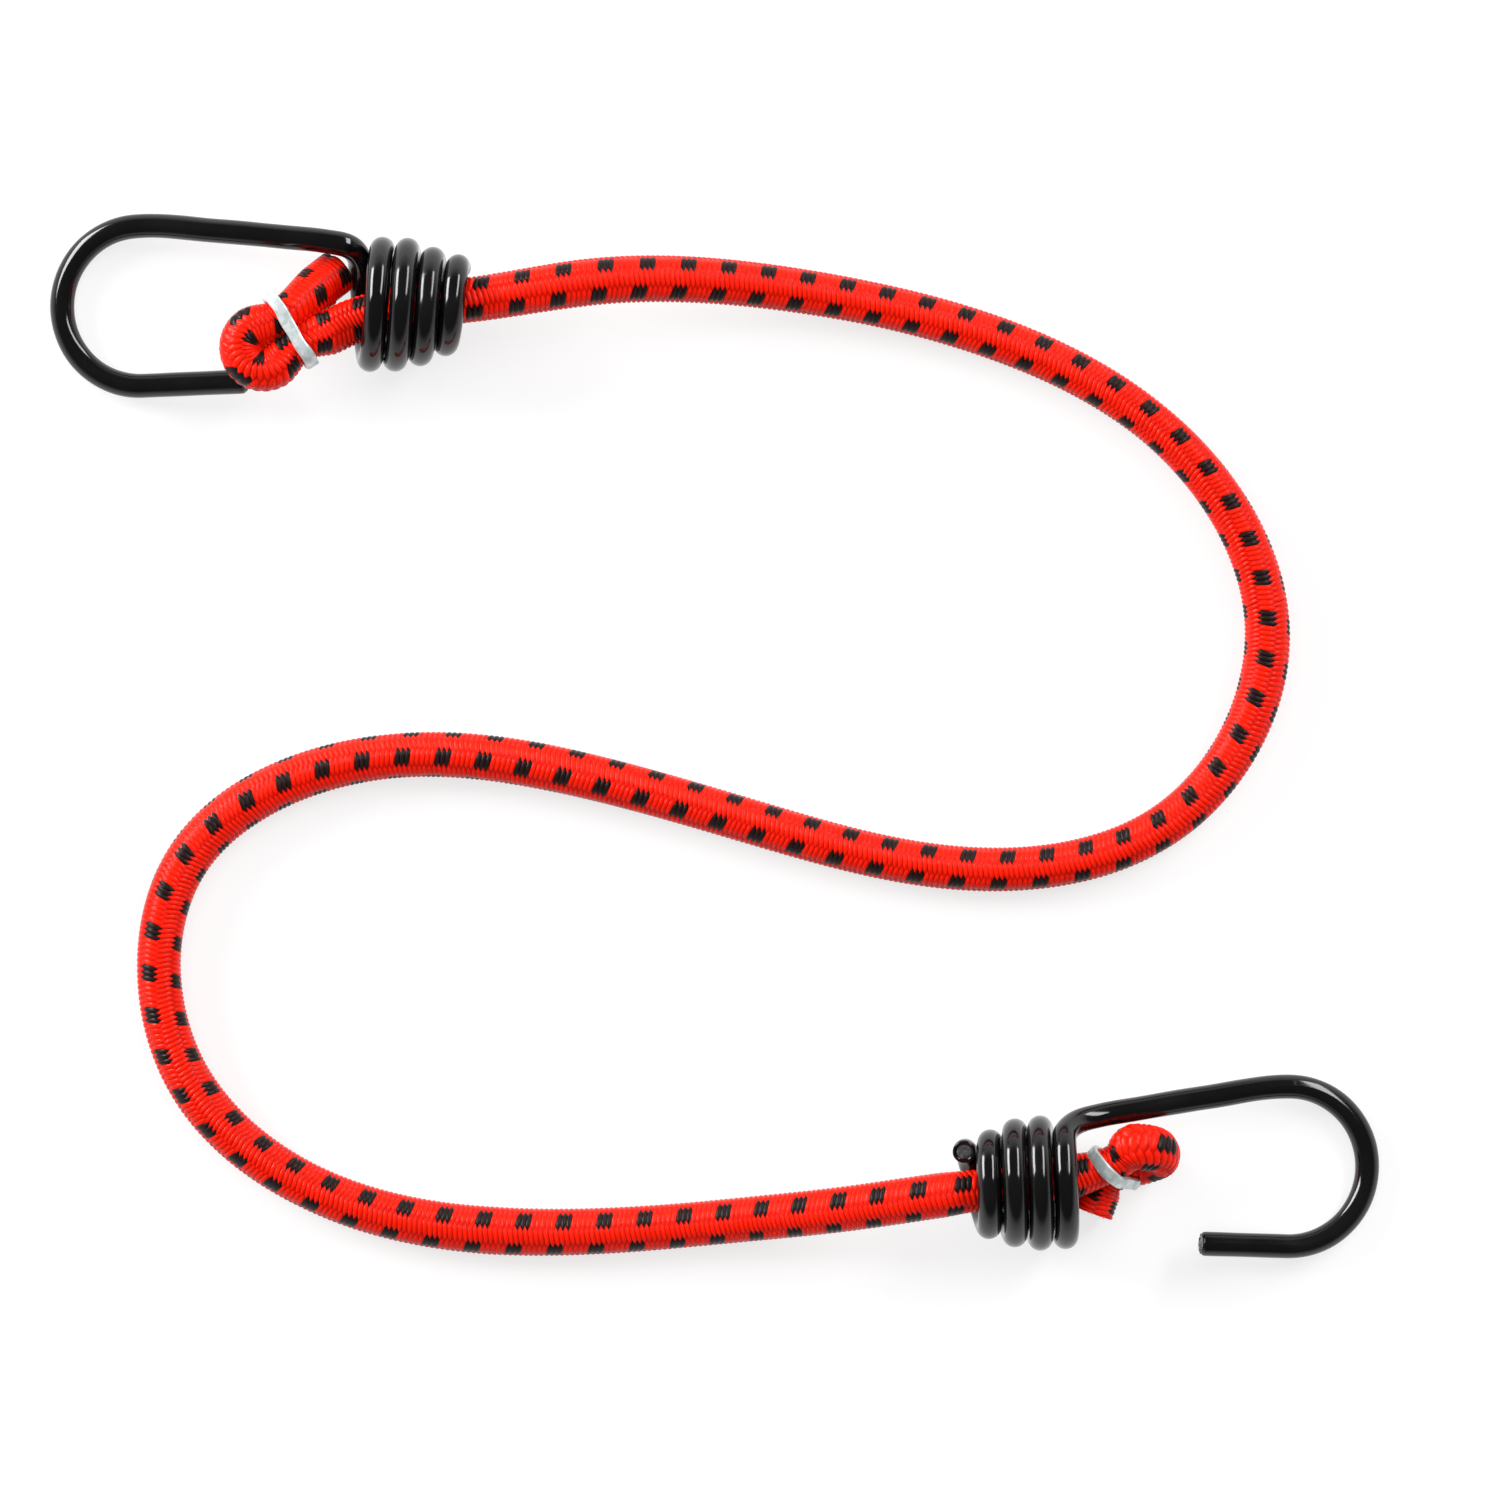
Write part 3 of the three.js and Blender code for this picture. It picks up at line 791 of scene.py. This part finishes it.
def hook_wire_line(hook):
    """The bent wire in the hook's own frame, tip, loop, shank and coil. The coil's axis is X."""

    def loop_point(degrees):
        angle = np.radians(degrees)
        turned = np.stack([np.cos(angle), np.sin(angle), np.zeros_like(angle)], axis=-1)
        return np.array([LOOP_CENTRE, 0, 0]) + LOOP_RADIUS * turned

    first = -90 - hook["tip_closing"]
    loop = loop_point(np.linspace(first, 90 - SHANK_CLOSING, LOOP_STEPS))
    start = np.radians(first)
    tip = loop[0] - hook["tip_length"] * np.array([-math.sin(start), math.cos(start), 0])
    bends = [(x, COIL_RADIUS + out, up) for x, out, up in (BEND_MIDDLE, BEND_END)]
    shank, spans = smooth_curve(
        [
            loop_point(np.array(LOOP_LAST_STEP)),
            loop[-1],
            (LOOP_CENTRE - LOOP_RADIUS, LOOP_RADIUS - SHANK_SINK, 0),
            (SHANK_END, LOOP_RADIUS - SHANK_END_SINK, 0),
            *bends,
            coil_point(hook, np.array(COIL_START)),
            coil_point(hook, np.array(COIL_START + COIL_LEAD_TURN)),
        ],
        SHANK_STEPS,
    )
    # The first and last spans only give the shank its directions
    shank = shank[(spans > 1) & (spans < 6)]
    coil = coil_point(hook, np.linspace(COIL_START, COIL_TURNS, COIL_STEPS))
    line = np.vstack([tip[None], loop, shank, coil])
    distances = distances_along(line)
    wanted = np.linspace(0, distances[-1], round(distances[-1] / WIRE_STEP))
    return at_distances(distances, line, wanted)


def hook_placement(hook):
    """The turn and place that lay a hook on its coil and the end of its loop."""
    coil_reach = COIL_RADIUS + WIRE_DIAMETER / 2
    rest_at = -COIL_PITCH * hook["rest_turn"]
    span = LOOP_CENTRE + LOOP_RADIUS - rest_at
    leaning = math.acos(WIRE_DIAMETER / 2 / math.hypot(coil_reach, span))
    tilt = leaning - math.atan2(span, coil_reach)
    height = coil_reach * math.cos(tilt) + rest_at * math.sin(tilt) - REST_FLAT_DEPTH
    roll, yaw = math.radians(hook["roll"]), math.radians(hook["yaw"])

    def turned(angle, first, second):
        matrix = np.eye(3)
        matrix[first, first] = matrix[second, second] = math.cos(angle)
        matrix[second, first] = math.sin(angle)
        matrix[first, second] = -math.sin(angle)
        return matrix

    turn = turned(yaw, 0, 1) @ turned(tilt, 2, 0) @ turned(roll, 1, 2)
    return turn, np.array([hook["x"], hook["y"], height])


def wire_frames(hook):
    """The places along a hook's wire, and three directions at each: along it and across it."""
    turn, place = hook_placement(hook)
    line = hook_wire_line(hook)
    places = line @ turn.T + place
    # The coil's turns lean away from the loop above the cord, and towards it below
    roll, yaw = math.radians(hook["roll"]), math.radians(hook["yaw"])
    places[:, 0] -= hook["lean"] * math.cos(yaw) * math.cos(roll) * line[:, 2] / COIL_RADIUS
    directions = unit(np.gradient(places, axis=0))
    normals = carried_normals(directions, turn @ np.array([0, 0, 1]))
    return places, directions, normals, np.cross(directions, normals)


def wire_ring(wire, i, sides, radius, offset=0):
    """A ring of points round the wire's place i, moved along the wire by offset."""
    places, directions, normals, sideways = wire
    angle = (2 * np.pi * np.arange(sides) / sides)[:, None]
    round_way = normals[i] * np.cos(angle) + sideways[i] * np.sin(angle)
    return places[i] + directions[i] * offset + round_way * np.reshape(radius, (-1, 1))


def bore_stations(end):
    """Where the bore's rings lie, from the cut end back to just under the tip's skin."""
    return list(range(end, BORE_STEP, -BORE_STEP))


def hook_jacket(name, wire, material):
    """The plastic coat: thick skin over the tip, open at the coil's end, flat where it rests."""
    places, directions, _, _ = wire
    distances = distances_along(places)
    end = len(places) - 1
    radius = WIRE_DIAMETER / 2
    rng = np.random.default_rng(SEED + 3)

    # A coat laid on hot is never quite even, and thins towards the coil's cut end
    thins = [distances[-1] - before for before in COAT_THINS]
    swell = waves(distances, COAT_WAVES) - COAT_SINK
    swell += COAT_SWELL * (1 - smoothstep(distances, *thins))
    tip_radius = radius + swell[0]
    rings = []
    for share in TIP_RINGS:
        rough = rng.uniform(-TIP_ROUGHNESS, TIP_ROUGHNESS, WIRE_SIDES)
        size = tip_radius * share + rough * TIP_SCATTER
        ring = wire_ring(wire, 0, WIRE_SIDES, size, rng.uniform(0, TIP_SINK))
        rings.append(ring + directions[0] * rough[:, None])
    for share in TIP_EDGE_SHARES:
        size = tip_radius - TIP_EDGE * (1 - math.sqrt(share))
        rings.append(wire_ring(wire, 0, WIRE_SIDES, size, TIP_EDGE_START + TIP_EDGE * share))
    rings += [wire_ring(wire, i, WIRE_SIDES, radius + swell[i]) for i in range(1, end)]
    burr = COAT_BURR * rng.uniform(-1, 1, WIRE_SIDES)
    for thinner, burr_share, offset in COAT_END:
        size = radius - thinner + burr * burr_share
        rings.append(wire_ring(wire, end, WIRE_SIDES, size, offset))
    points = np.vstack(rings)
    points[:, 2] = np.maximum(points[:, 2], 0)
    faces = tube_faces(len(rings), WIRE_SIDES)
    faces.append(list(range(WIRE_SIDES))[::-1])

    # The bore, from the cut end back to a stop under the tip's skin
    bore_radius = STEEL_DIAMETER / 2 + JACKET_CLEARANCE
    bore = [wire_ring(wire, i, BORE_SIDES, bore_radius) for i in bore_stations(end)]
    start = len(points)
    faces += shifted(tube_faces(len(bore), BORE_SIDES), start)
    last = start + (len(bore) - 1) * BORE_SIDES
    faces.append([last + i for i in range(BORE_SIDES)])
    # The cut end's face: two sides of the coat for each side of the bore
    rim = start - WIRE_SIDES
    for i in range(BORE_SIDES):
        a, b = start + i, start + (i + 1) % BORE_SIDES
        low, mid, high = (rim + (2 * i + k) % WIRE_SIDES for k in range(3))
        faces += [[low, mid, a], [mid, b, a], [mid, high, b]]
    piece = make_piece(name, np.vstack([points, *bore]), faces, [material])
    tube_map(piece, len(rings), WIRE_SIDES, COAT_MAP_ROWS)
    return piece


def hook_steel(name, wire, material):
    """The wire itself, bare only at its two sheared ends."""
    places, directions, _, _ = wire
    radius = STEEL_DIAMETER / 2
    rng = np.random.default_rng(SEED + 5)
    end = len(places) - 1
    stations = bore_stations(end)[-2::-1]
    rings = [wire_ring(wire, i, BORE_SIDES, radius) for i in stations]
    # A sheared face: a rim, a smooth land and a rough break
    rings[-1] -= directions[end] * SHEAR_RIM
    tilted = SHEAR_SLOPE * np.sin(2 * np.pi * np.arange(BORE_SIDES) / BORE_SIDES)[:, None]
    for size, depth in SHEAR_RINGS:
        rough = rng.uniform(-SHEAR_ROUGHNESS, SHEAR_ROUGHNESS, (BORE_SIDES, 1))
        ring = wire_ring(wire, end, BORE_SIDES, radius * size)
        rings.append(ring + directions[end] * (depth - SHEAR_SET_BACK + (tilted * size + rough)))
    return make_piece(name, np.vstack(rings), closed_tube(len(rings), BORE_SIDES), [material])


# Clips

def rounded_section():
    """The clip wire's section: across its width and its thickness, with rounded edges."""
    w = CLIP_WIDTH / 2 - CLIP_CORNER
    t = CLIP_THICKNESS / 2 - CLIP_CORNER
    section = []
    for a, b, start in ((w, t, 0), (-w, t, 90), (-w, -t, 180), (w, -t, 270)):
        for step in (0, 30, 60, 90):
            angle = math.radians(start + step)
            section.append((a + CLIP_CORNER * math.cos(angle), b + CLIP_CORNER * math.sin(angle)))
    return np.array(section)


def clip_frame(fold):
    """A clip's middle, its axis, the way across both legs and the way to its cut ends below."""
    middle, along, across = fold_frame(fold)
    skew, lean = math.radians(fold["clip_skew"]), math.radians(fold["clip_lean"])
    cos, sin = math.cos(skew), math.sin(skew)
    upright = np.array([[cos, -sin, 0], [sin, cos, 0], [0, 0, 1]])
    along, across = upright @ along, upright @ across
    cos, sin = math.cos(lean), math.sin(lean)
    along, across = along * cos - across * sin, across * cos + along * sin
    through = np.cross(across, along)
    return middle, along, across, -through if through[2] > 0 else through


def clip_outline():
    """The clip wire's bent line, from one cut end round both legs to the other."""
    end_radius = CLIP_BORE_RADIUS + CLIP_THICKNESS / 2
    half = LEG_SPACING / 2
    arc = np.radians(np.linspace(0, 180, 33))
    bulge = np.sin(arc) ** CLIP_SQUARENESS
    drop = np.sign(np.cos(arc)) * np.abs(np.cos(arc)) ** CLIP_SQUARENESS
    outline = [(x, end_radius) for x in np.linspace(CLIP_END_GAP / 2, half, 5)[:-1]]
    outline += [(half + end_radius * a, end_radius * b) for a, b in zip(bulge, drop)]
    outline += [(x, -end_radius) for x in np.linspace(half, -half, 10)[1:-1]]
    outline += [(-half - end_radius * a, -end_radius * b) for a, b in zip(bulge, drop)]
    outline += [(x, end_radius) for x in np.linspace(-half, -CLIP_END_GAP / 2, 5)[1:]]
    return np.array(outline)


def clip_ring(name, fold, material):
    """A flat wire bent hard round both legs of a fold, its cut ends nearly meeting below."""
    middle, along, across, below = clip_frame(fold)
    outline = clip_outline()
    travel = distances_along(outline)
    wander = waves(travel, CLIP_WANDER)[:, None]
    places = middle + outline[:, :1] * across + outline[:, 1:] * below + wander * along
    directions = unit(np.gradient(places, axis=0))
    outward = unit(np.cross(directions, along))
    if outward[len(outward) // 2].dot(below) > 0:
        outward = -outward
    wide = np.cross(outward, directions)
    section = rounded_section()
    flattening = 1 + waves(travel, CLIP_FLATTENING)
    rings = []
    for place, w, o, flat in zip(places, wide, outward, flattening):
        rings.append(place + section[:, :1] * w * flat + section[:, 1:] * o / flat)
    faces = closed_tube(len(rings), len(section))
    piece = make_piece(name, np.vstack(rings), faces, [material])
    tube_map(piece, len(rings), len(section), CLIP_MAP_ROWS)
    return piece


# Materials

def linear(red, green, blue):
    """A shader colour from 0 to 255 screen values."""
    def one(value):
        value /= 255
        return value / 12.92 if value <= 0.04045 else ((value + 0.055) / 1.055) ** 2.4

    return (one(red), one(green), one(blue), 1)


def grey(value):
    return (value, value, value, 1)


def place_node(tree, kind, values=None, **settings):
    """The outputs of a new shader node, its inputs set to values or linked to sockets."""
    node = tree.nodes.new("ShaderNode" + kind)
    for name, value in settings.items():
        setattr(node, name, value)
    for name, value in (values or {}).items():
        if isinstance(value, bpy.types.NodeSocket):
            tree.links.new(value, node.inputs[name])
        else:
            node.inputs[name].default_value = value
    return node.outputs


def calculated(tree, operation, *values):
    return place_node(tree, "Math", dict(enumerate(values)), operation=operation)[0]


def ranged(tree, value, to=(0, 1), levels=(0, 1), curve="LINEAR"):
    """A value taken from between two levels to between two others."""
    limits = zip(("From Min", "From Max", "To Min", "To Max"), (*levels, *to))
    values = {"Value": value, **dict(limits)}
    return place_node(tree, "MapRange", values, interpolation_type=curve)["Result"]


def noise(tree, place, scale, detail, distortion=0):
    values = {"Vector": place, "Scale": scale, "Detail": detail, "Distortion": distortion}
    return place_node(tree, "TexNoise", values)["Fac"]


def mixed_colour(tree, factor, first, second):
    """A mix of two colours, each a socket or a screen colour."""
    values = {0: factor}
    # A mix node's colours are its inputs 6 and 7 and its output 2
    for place, colour in ((6, first), (7, second)):
        values[place] = linear(*colour) if isinstance(colour, tuple) else colour
    return place_node(tree, "Mix", values, data_type="RGBA")[2]


def new_group(name, inputs, outputs):
    """An empty shader group: its tree, its input sockets and its output node."""
    tree = bpy.data.node_groups.new(name, "ShaderNodeTree")
    for in_out, sockets in (("INPUT", inputs), ("OUTPUT", outputs)):
        for socket, kind in sockets.items():
            tree.interface.new_socket(socket, in_out=in_out, socket_type=kind)
    entry = tree.nodes.new("NodeGroupInput")
    return tree, entry.outputs, tree.nodes.new("NodeGroupOutput")


def link_all(tree, node, sockets):
    for name, socket in sockets.items():
        tree.links.new(socket, node.inputs[name])


def yarn_group():
    """Fine fibres along each float, its own shade, and a painted shade darkening the valleys
    between floats.
    """
    tree, given, leave = new_group(
        "braided_yarn",
        {"Painted Valley Shade": COLOUR, "Crest": COLOUR, "Fibres": FLOAT},
        {"Colour": COLOUR, "Roughness": FLOAT, "Height": FLOAT},
    )
    place = place_node(tree, "UVMap", uv_map=YARN_MAP)["UV"]
    parts = place_node(tree, "SeparateXYZ", {"Vector": place})
    twisted = calculated(tree, "MULTIPLY_ADD", parts["Y"], FIBRE_TWIST, parts["X"])
    across = calculated(tree, "MULTIPLY", twisted, given["Fibres"])
    along = calculated(tree, "MULTIPLY", parts["Y"], FIBRE_PACE)
    stretched = place_node(tree, "CombineXYZ", {"X": across, "Y": along})[0]
    fibre = noise(tree, stretched, scale=1, detail=3)
    rise = place_node(tree, "Attribute", attribute_name="rise")["Fac"]
    tone = place_node(tree, "Attribute", attribute_name="tone")["Fac"]
    # Painted shade: the colour darkens to the valley colour where the braid dips between floats
    crest = ranged(tree, rise, levels=SHADE_TO_CREST_LEVELS, curve="SMOOTHSTEP")
    body = mixed_colour(tree, crest, given["Painted Valley Shade"], given["Crest"])
    fibre_shade = ranged(tree, fibre, FIBRE_SHADES, FIBRE_LEVELS)
    level = calculated(tree, "MULTIPLY", fibre_shade, ranged(tree, tone, TONE_SHADES))
    toned = place_node(tree, "HueSaturation", {"Color": body, "Value": level})
    rough = ranged(tree, fibre, YARN_ROUGHNESS)
    link_all(tree, leave, {"Colour": toned["Color"], "Roughness": rough, "Height": fibre})
    return tree


def marks_group():
    """Handling marks: soft smudges, fine scratches and a fine uneven skin."""
    tree, given, leave = new_group(
        "handling_marks",
        {"Smudge Scale": FLOAT, "Scratch Scale": FLOAT, "Skin Scale": FLOAT},
        {"Smudges": FLOAT, "Scratches": FLOAT, "Skin": FLOAT},
    )
    place = place_node(tree, "TexCoord")["Object"]
    smudge = noise(tree, place, given["Smudge Scale"], detail=4)
    stretch = {"Vector": place, "Rotation": SCRATCH_TURN, "Scale": SCRATCH_STRETCH}
    turned = place_node(tree, "Mapping", stretch)["Vector"]
    scratch = noise(tree, turned, given["Scratch Scale"], detail=2, distortion=0.4)
    made = {
        "Smudges": ranged(tree, smudge, levels=SMUDGE_LEVELS),
        "Scratches": ranged(tree, scratch, levels=SCRATCH_LEVELS),
        "Skin": noise(tree, place, given["Skin Scale"], detail=2),
    }
    link_all(tree, leave, made)
    return tree


def new_material(name, group, values, sockets):
    """A material with one Principled shader, whose plain sockets are set here, and a group."""
    material = bpy.data.materials.new(name)
    material.use_nodes = True
    tree = material.node_tree
    shader = tree.nodes["Principled BSDF"]
    for socket, value in sockets.items():
        shader.inputs[socket].default_value = value
    made = place_node(tree, "Group", values, node_tree=group)
    return material, tree, shader, made


def dress(tree, shader, colour, roughness, height, bump):
    """Gives a shader its colour, its roughness and its bump."""
    depth, strength = bump
    values = {"Height": height, "Distance": depth * MM, "Strength": strength}
    normal = place_node(tree, "Bump", values)["Normal"]
    link_all(tree, shader, {"Base Color": colour, "Roughness": roughness, "Normal": normal})


def yarn_material(name, group, colours):
    # Each yarn's first colour is a painted shade for the valleys, the second its own colour
    painted_valley_shade, crest = (linear(*colour) for colour in colours)
    values = {"Painted Valley Shade": painted_valley_shade, "Crest": crest, "Fibres": FIBRES_PER_FLOAT}
    plain = {"Specular IOR Level": YARN_SHINE}
    material, tree, shader, yarn = new_material(name, group, values, plain)
    dress(tree, shader, yarn["Colour"], yarn["Roughness"], yarn["Height"], YARN_BUMP)
    return material


def worn_material(name, marks, surface):
    """A surface that was handled: smudged, scratched and with an uneven skin."""
    scales = dict(zip(("Smudge Scale", "Scratch Scale", "Skin Scale"), surface["marks"]))
    material, tree, shader, worn = new_material(name, marks, scales, surface["shader"])
    colour = surface["clean"]
    if "spangled" in surface:
        place = place_node(tree, "TexCoord")["Object"]
        cells = {"Vector": place, "Scale": surface["spangles"]}
        spangle = place_node(tree, "TexVoronoi", cells, feature="F1")["Color"]
        level = place_node(tree, "SeparateColor", {"Color": spangle})["Red"]
        colour = mixed_colour(tree, level, colour, surface["spangled"])
    colour = mixed_colour(tree, worn["Smudges"], colour, surface["smudged"])
    if "scratched" in surface:
        colour = mixed_colour(tree, worn["Scratches"], colour, surface["scratched"])
    rough = ranged(tree, worn[surface["rough_mark"]], surface["roughness"])
    if "scratch_roughness" in surface:
        more = surface["scratch_roughness"]
        rough = calculated(tree, "MULTIPLY_ADD", worn["Scratches"], more, rough)
    dress(tree, shader, colour, rough, worn["Skin"], surface["bump"])
    return material


# Table, surroundings and lamps

def white_for_eye(tree):
    """1 where the camera, a gloss or a clear surface sees the white surroundings."""
    path = place_node(tree, "LightPath")
    seen = path["Is Camera Ray"]
    for other in ("Is Glossy Ray", "Is Transmission Ray"):
        seen = calculated(tree, "MAXIMUM", seen, path[other])
    return seen


def add_table():
    material = bpy.data.materials.new("white_table")
    material.use_nodes = True
    tree = material.node_tree
    tree.nodes.clear()
    plain, dim = (
        place_node(tree, "BsdfDiffuse", {"Color": grey(level)})[0]
        for level in (TABLE_GREY, SEEN_TABLE_GREY)
    )
    lit = {"Color": grey(1), "Strength": TABLE_GLOW}
    glow = place_node(tree, "Emission", lit)[0]
    seen = place_node(tree, "AddShader", {0: dim, 1: glow})[0]
    shaders = {0: white_for_eye(tree), 1: plain, 2: seen}
    mixed = place_node(tree, "MixShader", shaders)[0]
    place_node(tree, "OutputMaterial", {"Surface": mixed})
    signs = ((-1, -1), (1, -1), (1, 1), (-1, 1))
    corners = [(x * TABLE_HALF, y * TABLE_HALF, TABLE_LEVEL) for x, y in signs]
    table = make_piece("white_table", corners, [(0, 1, 2, 3)], [material])


def add_surroundings():
    """White walls low down and a dark ceiling; the camera sees white all round."""
    world = bpy.data.worlds.new("studio")
    bpy.context.scene.world = world
    world.use_nodes = True
    tree = world.node_tree
    background = tree.nodes["Background"]
    way = place_node(tree, "TexCoord")["Generated"]
    height = place_node(tree, "SeparateXYZ", {"Vector": way})["Z"]
    level = ranged(tree, height, WALL_GLOWS, WALL_HEIGHTS, "SMOOTHSTEP")
    camera = place_node(tree, "LightPath")["Is Camera Ray"]
    background.inputs["Color"].default_value = grey(1)
    shown = calculated(tree, "MAXIMUM", level, camera)
    tree.links.new(shown, background.inputs["Strength"])


def add_lamp(name, low_end, high_end, width, glow, in_gloss):
    """A long soft box, given by the directions of its two ends."""
    low_end, high_end = (LAMP_METRES * Vector(end) for end in (low_end, high_end))
    along = high_end - low_end
    data = bpy.data.lights.new(name, "AREA")
    data.shape = "RECTANGLE"
    data.size = width * LAMP_METRES
    data.size_y = along.length
    data.energy = glow * math.pi * data.size * data.size_y
    lamp = bpy.data.objects.new(name, data)
    lamp.location = (low_end + high_end) / 2
    along.normalize()
    across = along.cross(lamp.location).normalized()
    lamp.rotation_mode = "QUATERNION"
    turn = Matrix((across, along, across.cross(along))).transposed()
    lamp.rotation_quaternion = turn.to_quaternion()
    lamp.visible_glossy = in_gloss
    bpy.context.collection.objects.link(lamp)


# The scene

add_camera()
cord = CordLine()

yarn = yarn_group()
marks = marks_group()
yarns = [yarn_material("red_yarn", yarn, RED_YARN), yarn_material("black_yarn", yarn, BLACK_YARN)]
plastic = worn_material("black_plastic_coat", marks, COAT)
zinc = worn_material("galvanised_clip", marks, ZINC)
steel = worn_material("sheared_steel", marks, STEEL)
rubber = worn_material("latex_strand", marks, LATEX)

# The braid is three pieces end to end.
total_rings = math.ceil(cord.length / RIB_PITCH + 1) * RIB_RINGS
left_join = round(total_rings / 3 / RIB_RINGS) * RIB_RINGS
right_join = 2 * left_join
ring_length = RIB_PITCH / RIB_RINGS
braids = []
left_cut, right_cut = cord.cuts
for name, first, last, cuts in (
    ("left_braid", int(left_cut / ring_length), left_join, (left_cut, None)),
    ("middle_braid", left_join, right_join, (None, None)),
    ("right_braid", right_join, total_rings, (None, right_cut)),
):
    piece = braid_piece(name, cord, first, last, cuts, yarns)
    path = cord.path(max(first * ring_length, left_cut), min(last * ring_length, right_cut))
    length = float(np.linalg.norm(np.diff(path, axis=0), axis=1).sum())
    braids.append((piece, path, length))

strands = [f"rubber_strand_{i:02d}" for i in range(1, 13)]
left_braid, middle_braid, right_braid = (piece for piece, _, _ in braids)
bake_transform(left_braid)
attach(middle_braid, "cord")
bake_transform(right_braid)
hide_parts("left_end_sheath")
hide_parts("cord_sheath", *strands)
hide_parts("right_end_sheath")

for end, outward, hook, fold in (
    ("left", False, LEFT_HOOK, LEFT_FOLD),
    ("right", True, RIGHT_HOOK, RIGHT_FOLD),
):
    wire = wire_frames(hook)
    # Each piece with the body it rides on, the node it replaces and its slot
    for piece, body, node, slot in (
        (rubber_ends(f"{end}_rubber_ends", cord, outward, rubber), "end", None, "rubber"),
        (frayed_yarn(f"{end}_frayed_yarn", cord, outward, yarns), "end", None, "sheath"),
        (clip_ring(f"{end}_clip_ring", fold, zinc), "end", "clip", "zinc"),
        (hook_jacket(f"{end}_hook_coat", wire, plastic), "hook", "hook_jacket", "jacket"),
        (hook_steel(f"{end}_hook_steel", wire, steel), "hook", "hook_wire", "steel"),
    ):
        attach(piece, f"{end}_{body}")
        if node:
            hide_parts(f"{end}_{node}")

add_table()
add_surroundings()
for name, lamp in LAMPS.items():
    add_lamp(name, *lamp)
bpy.context.scene.view_settings.view_transform = "Standard"
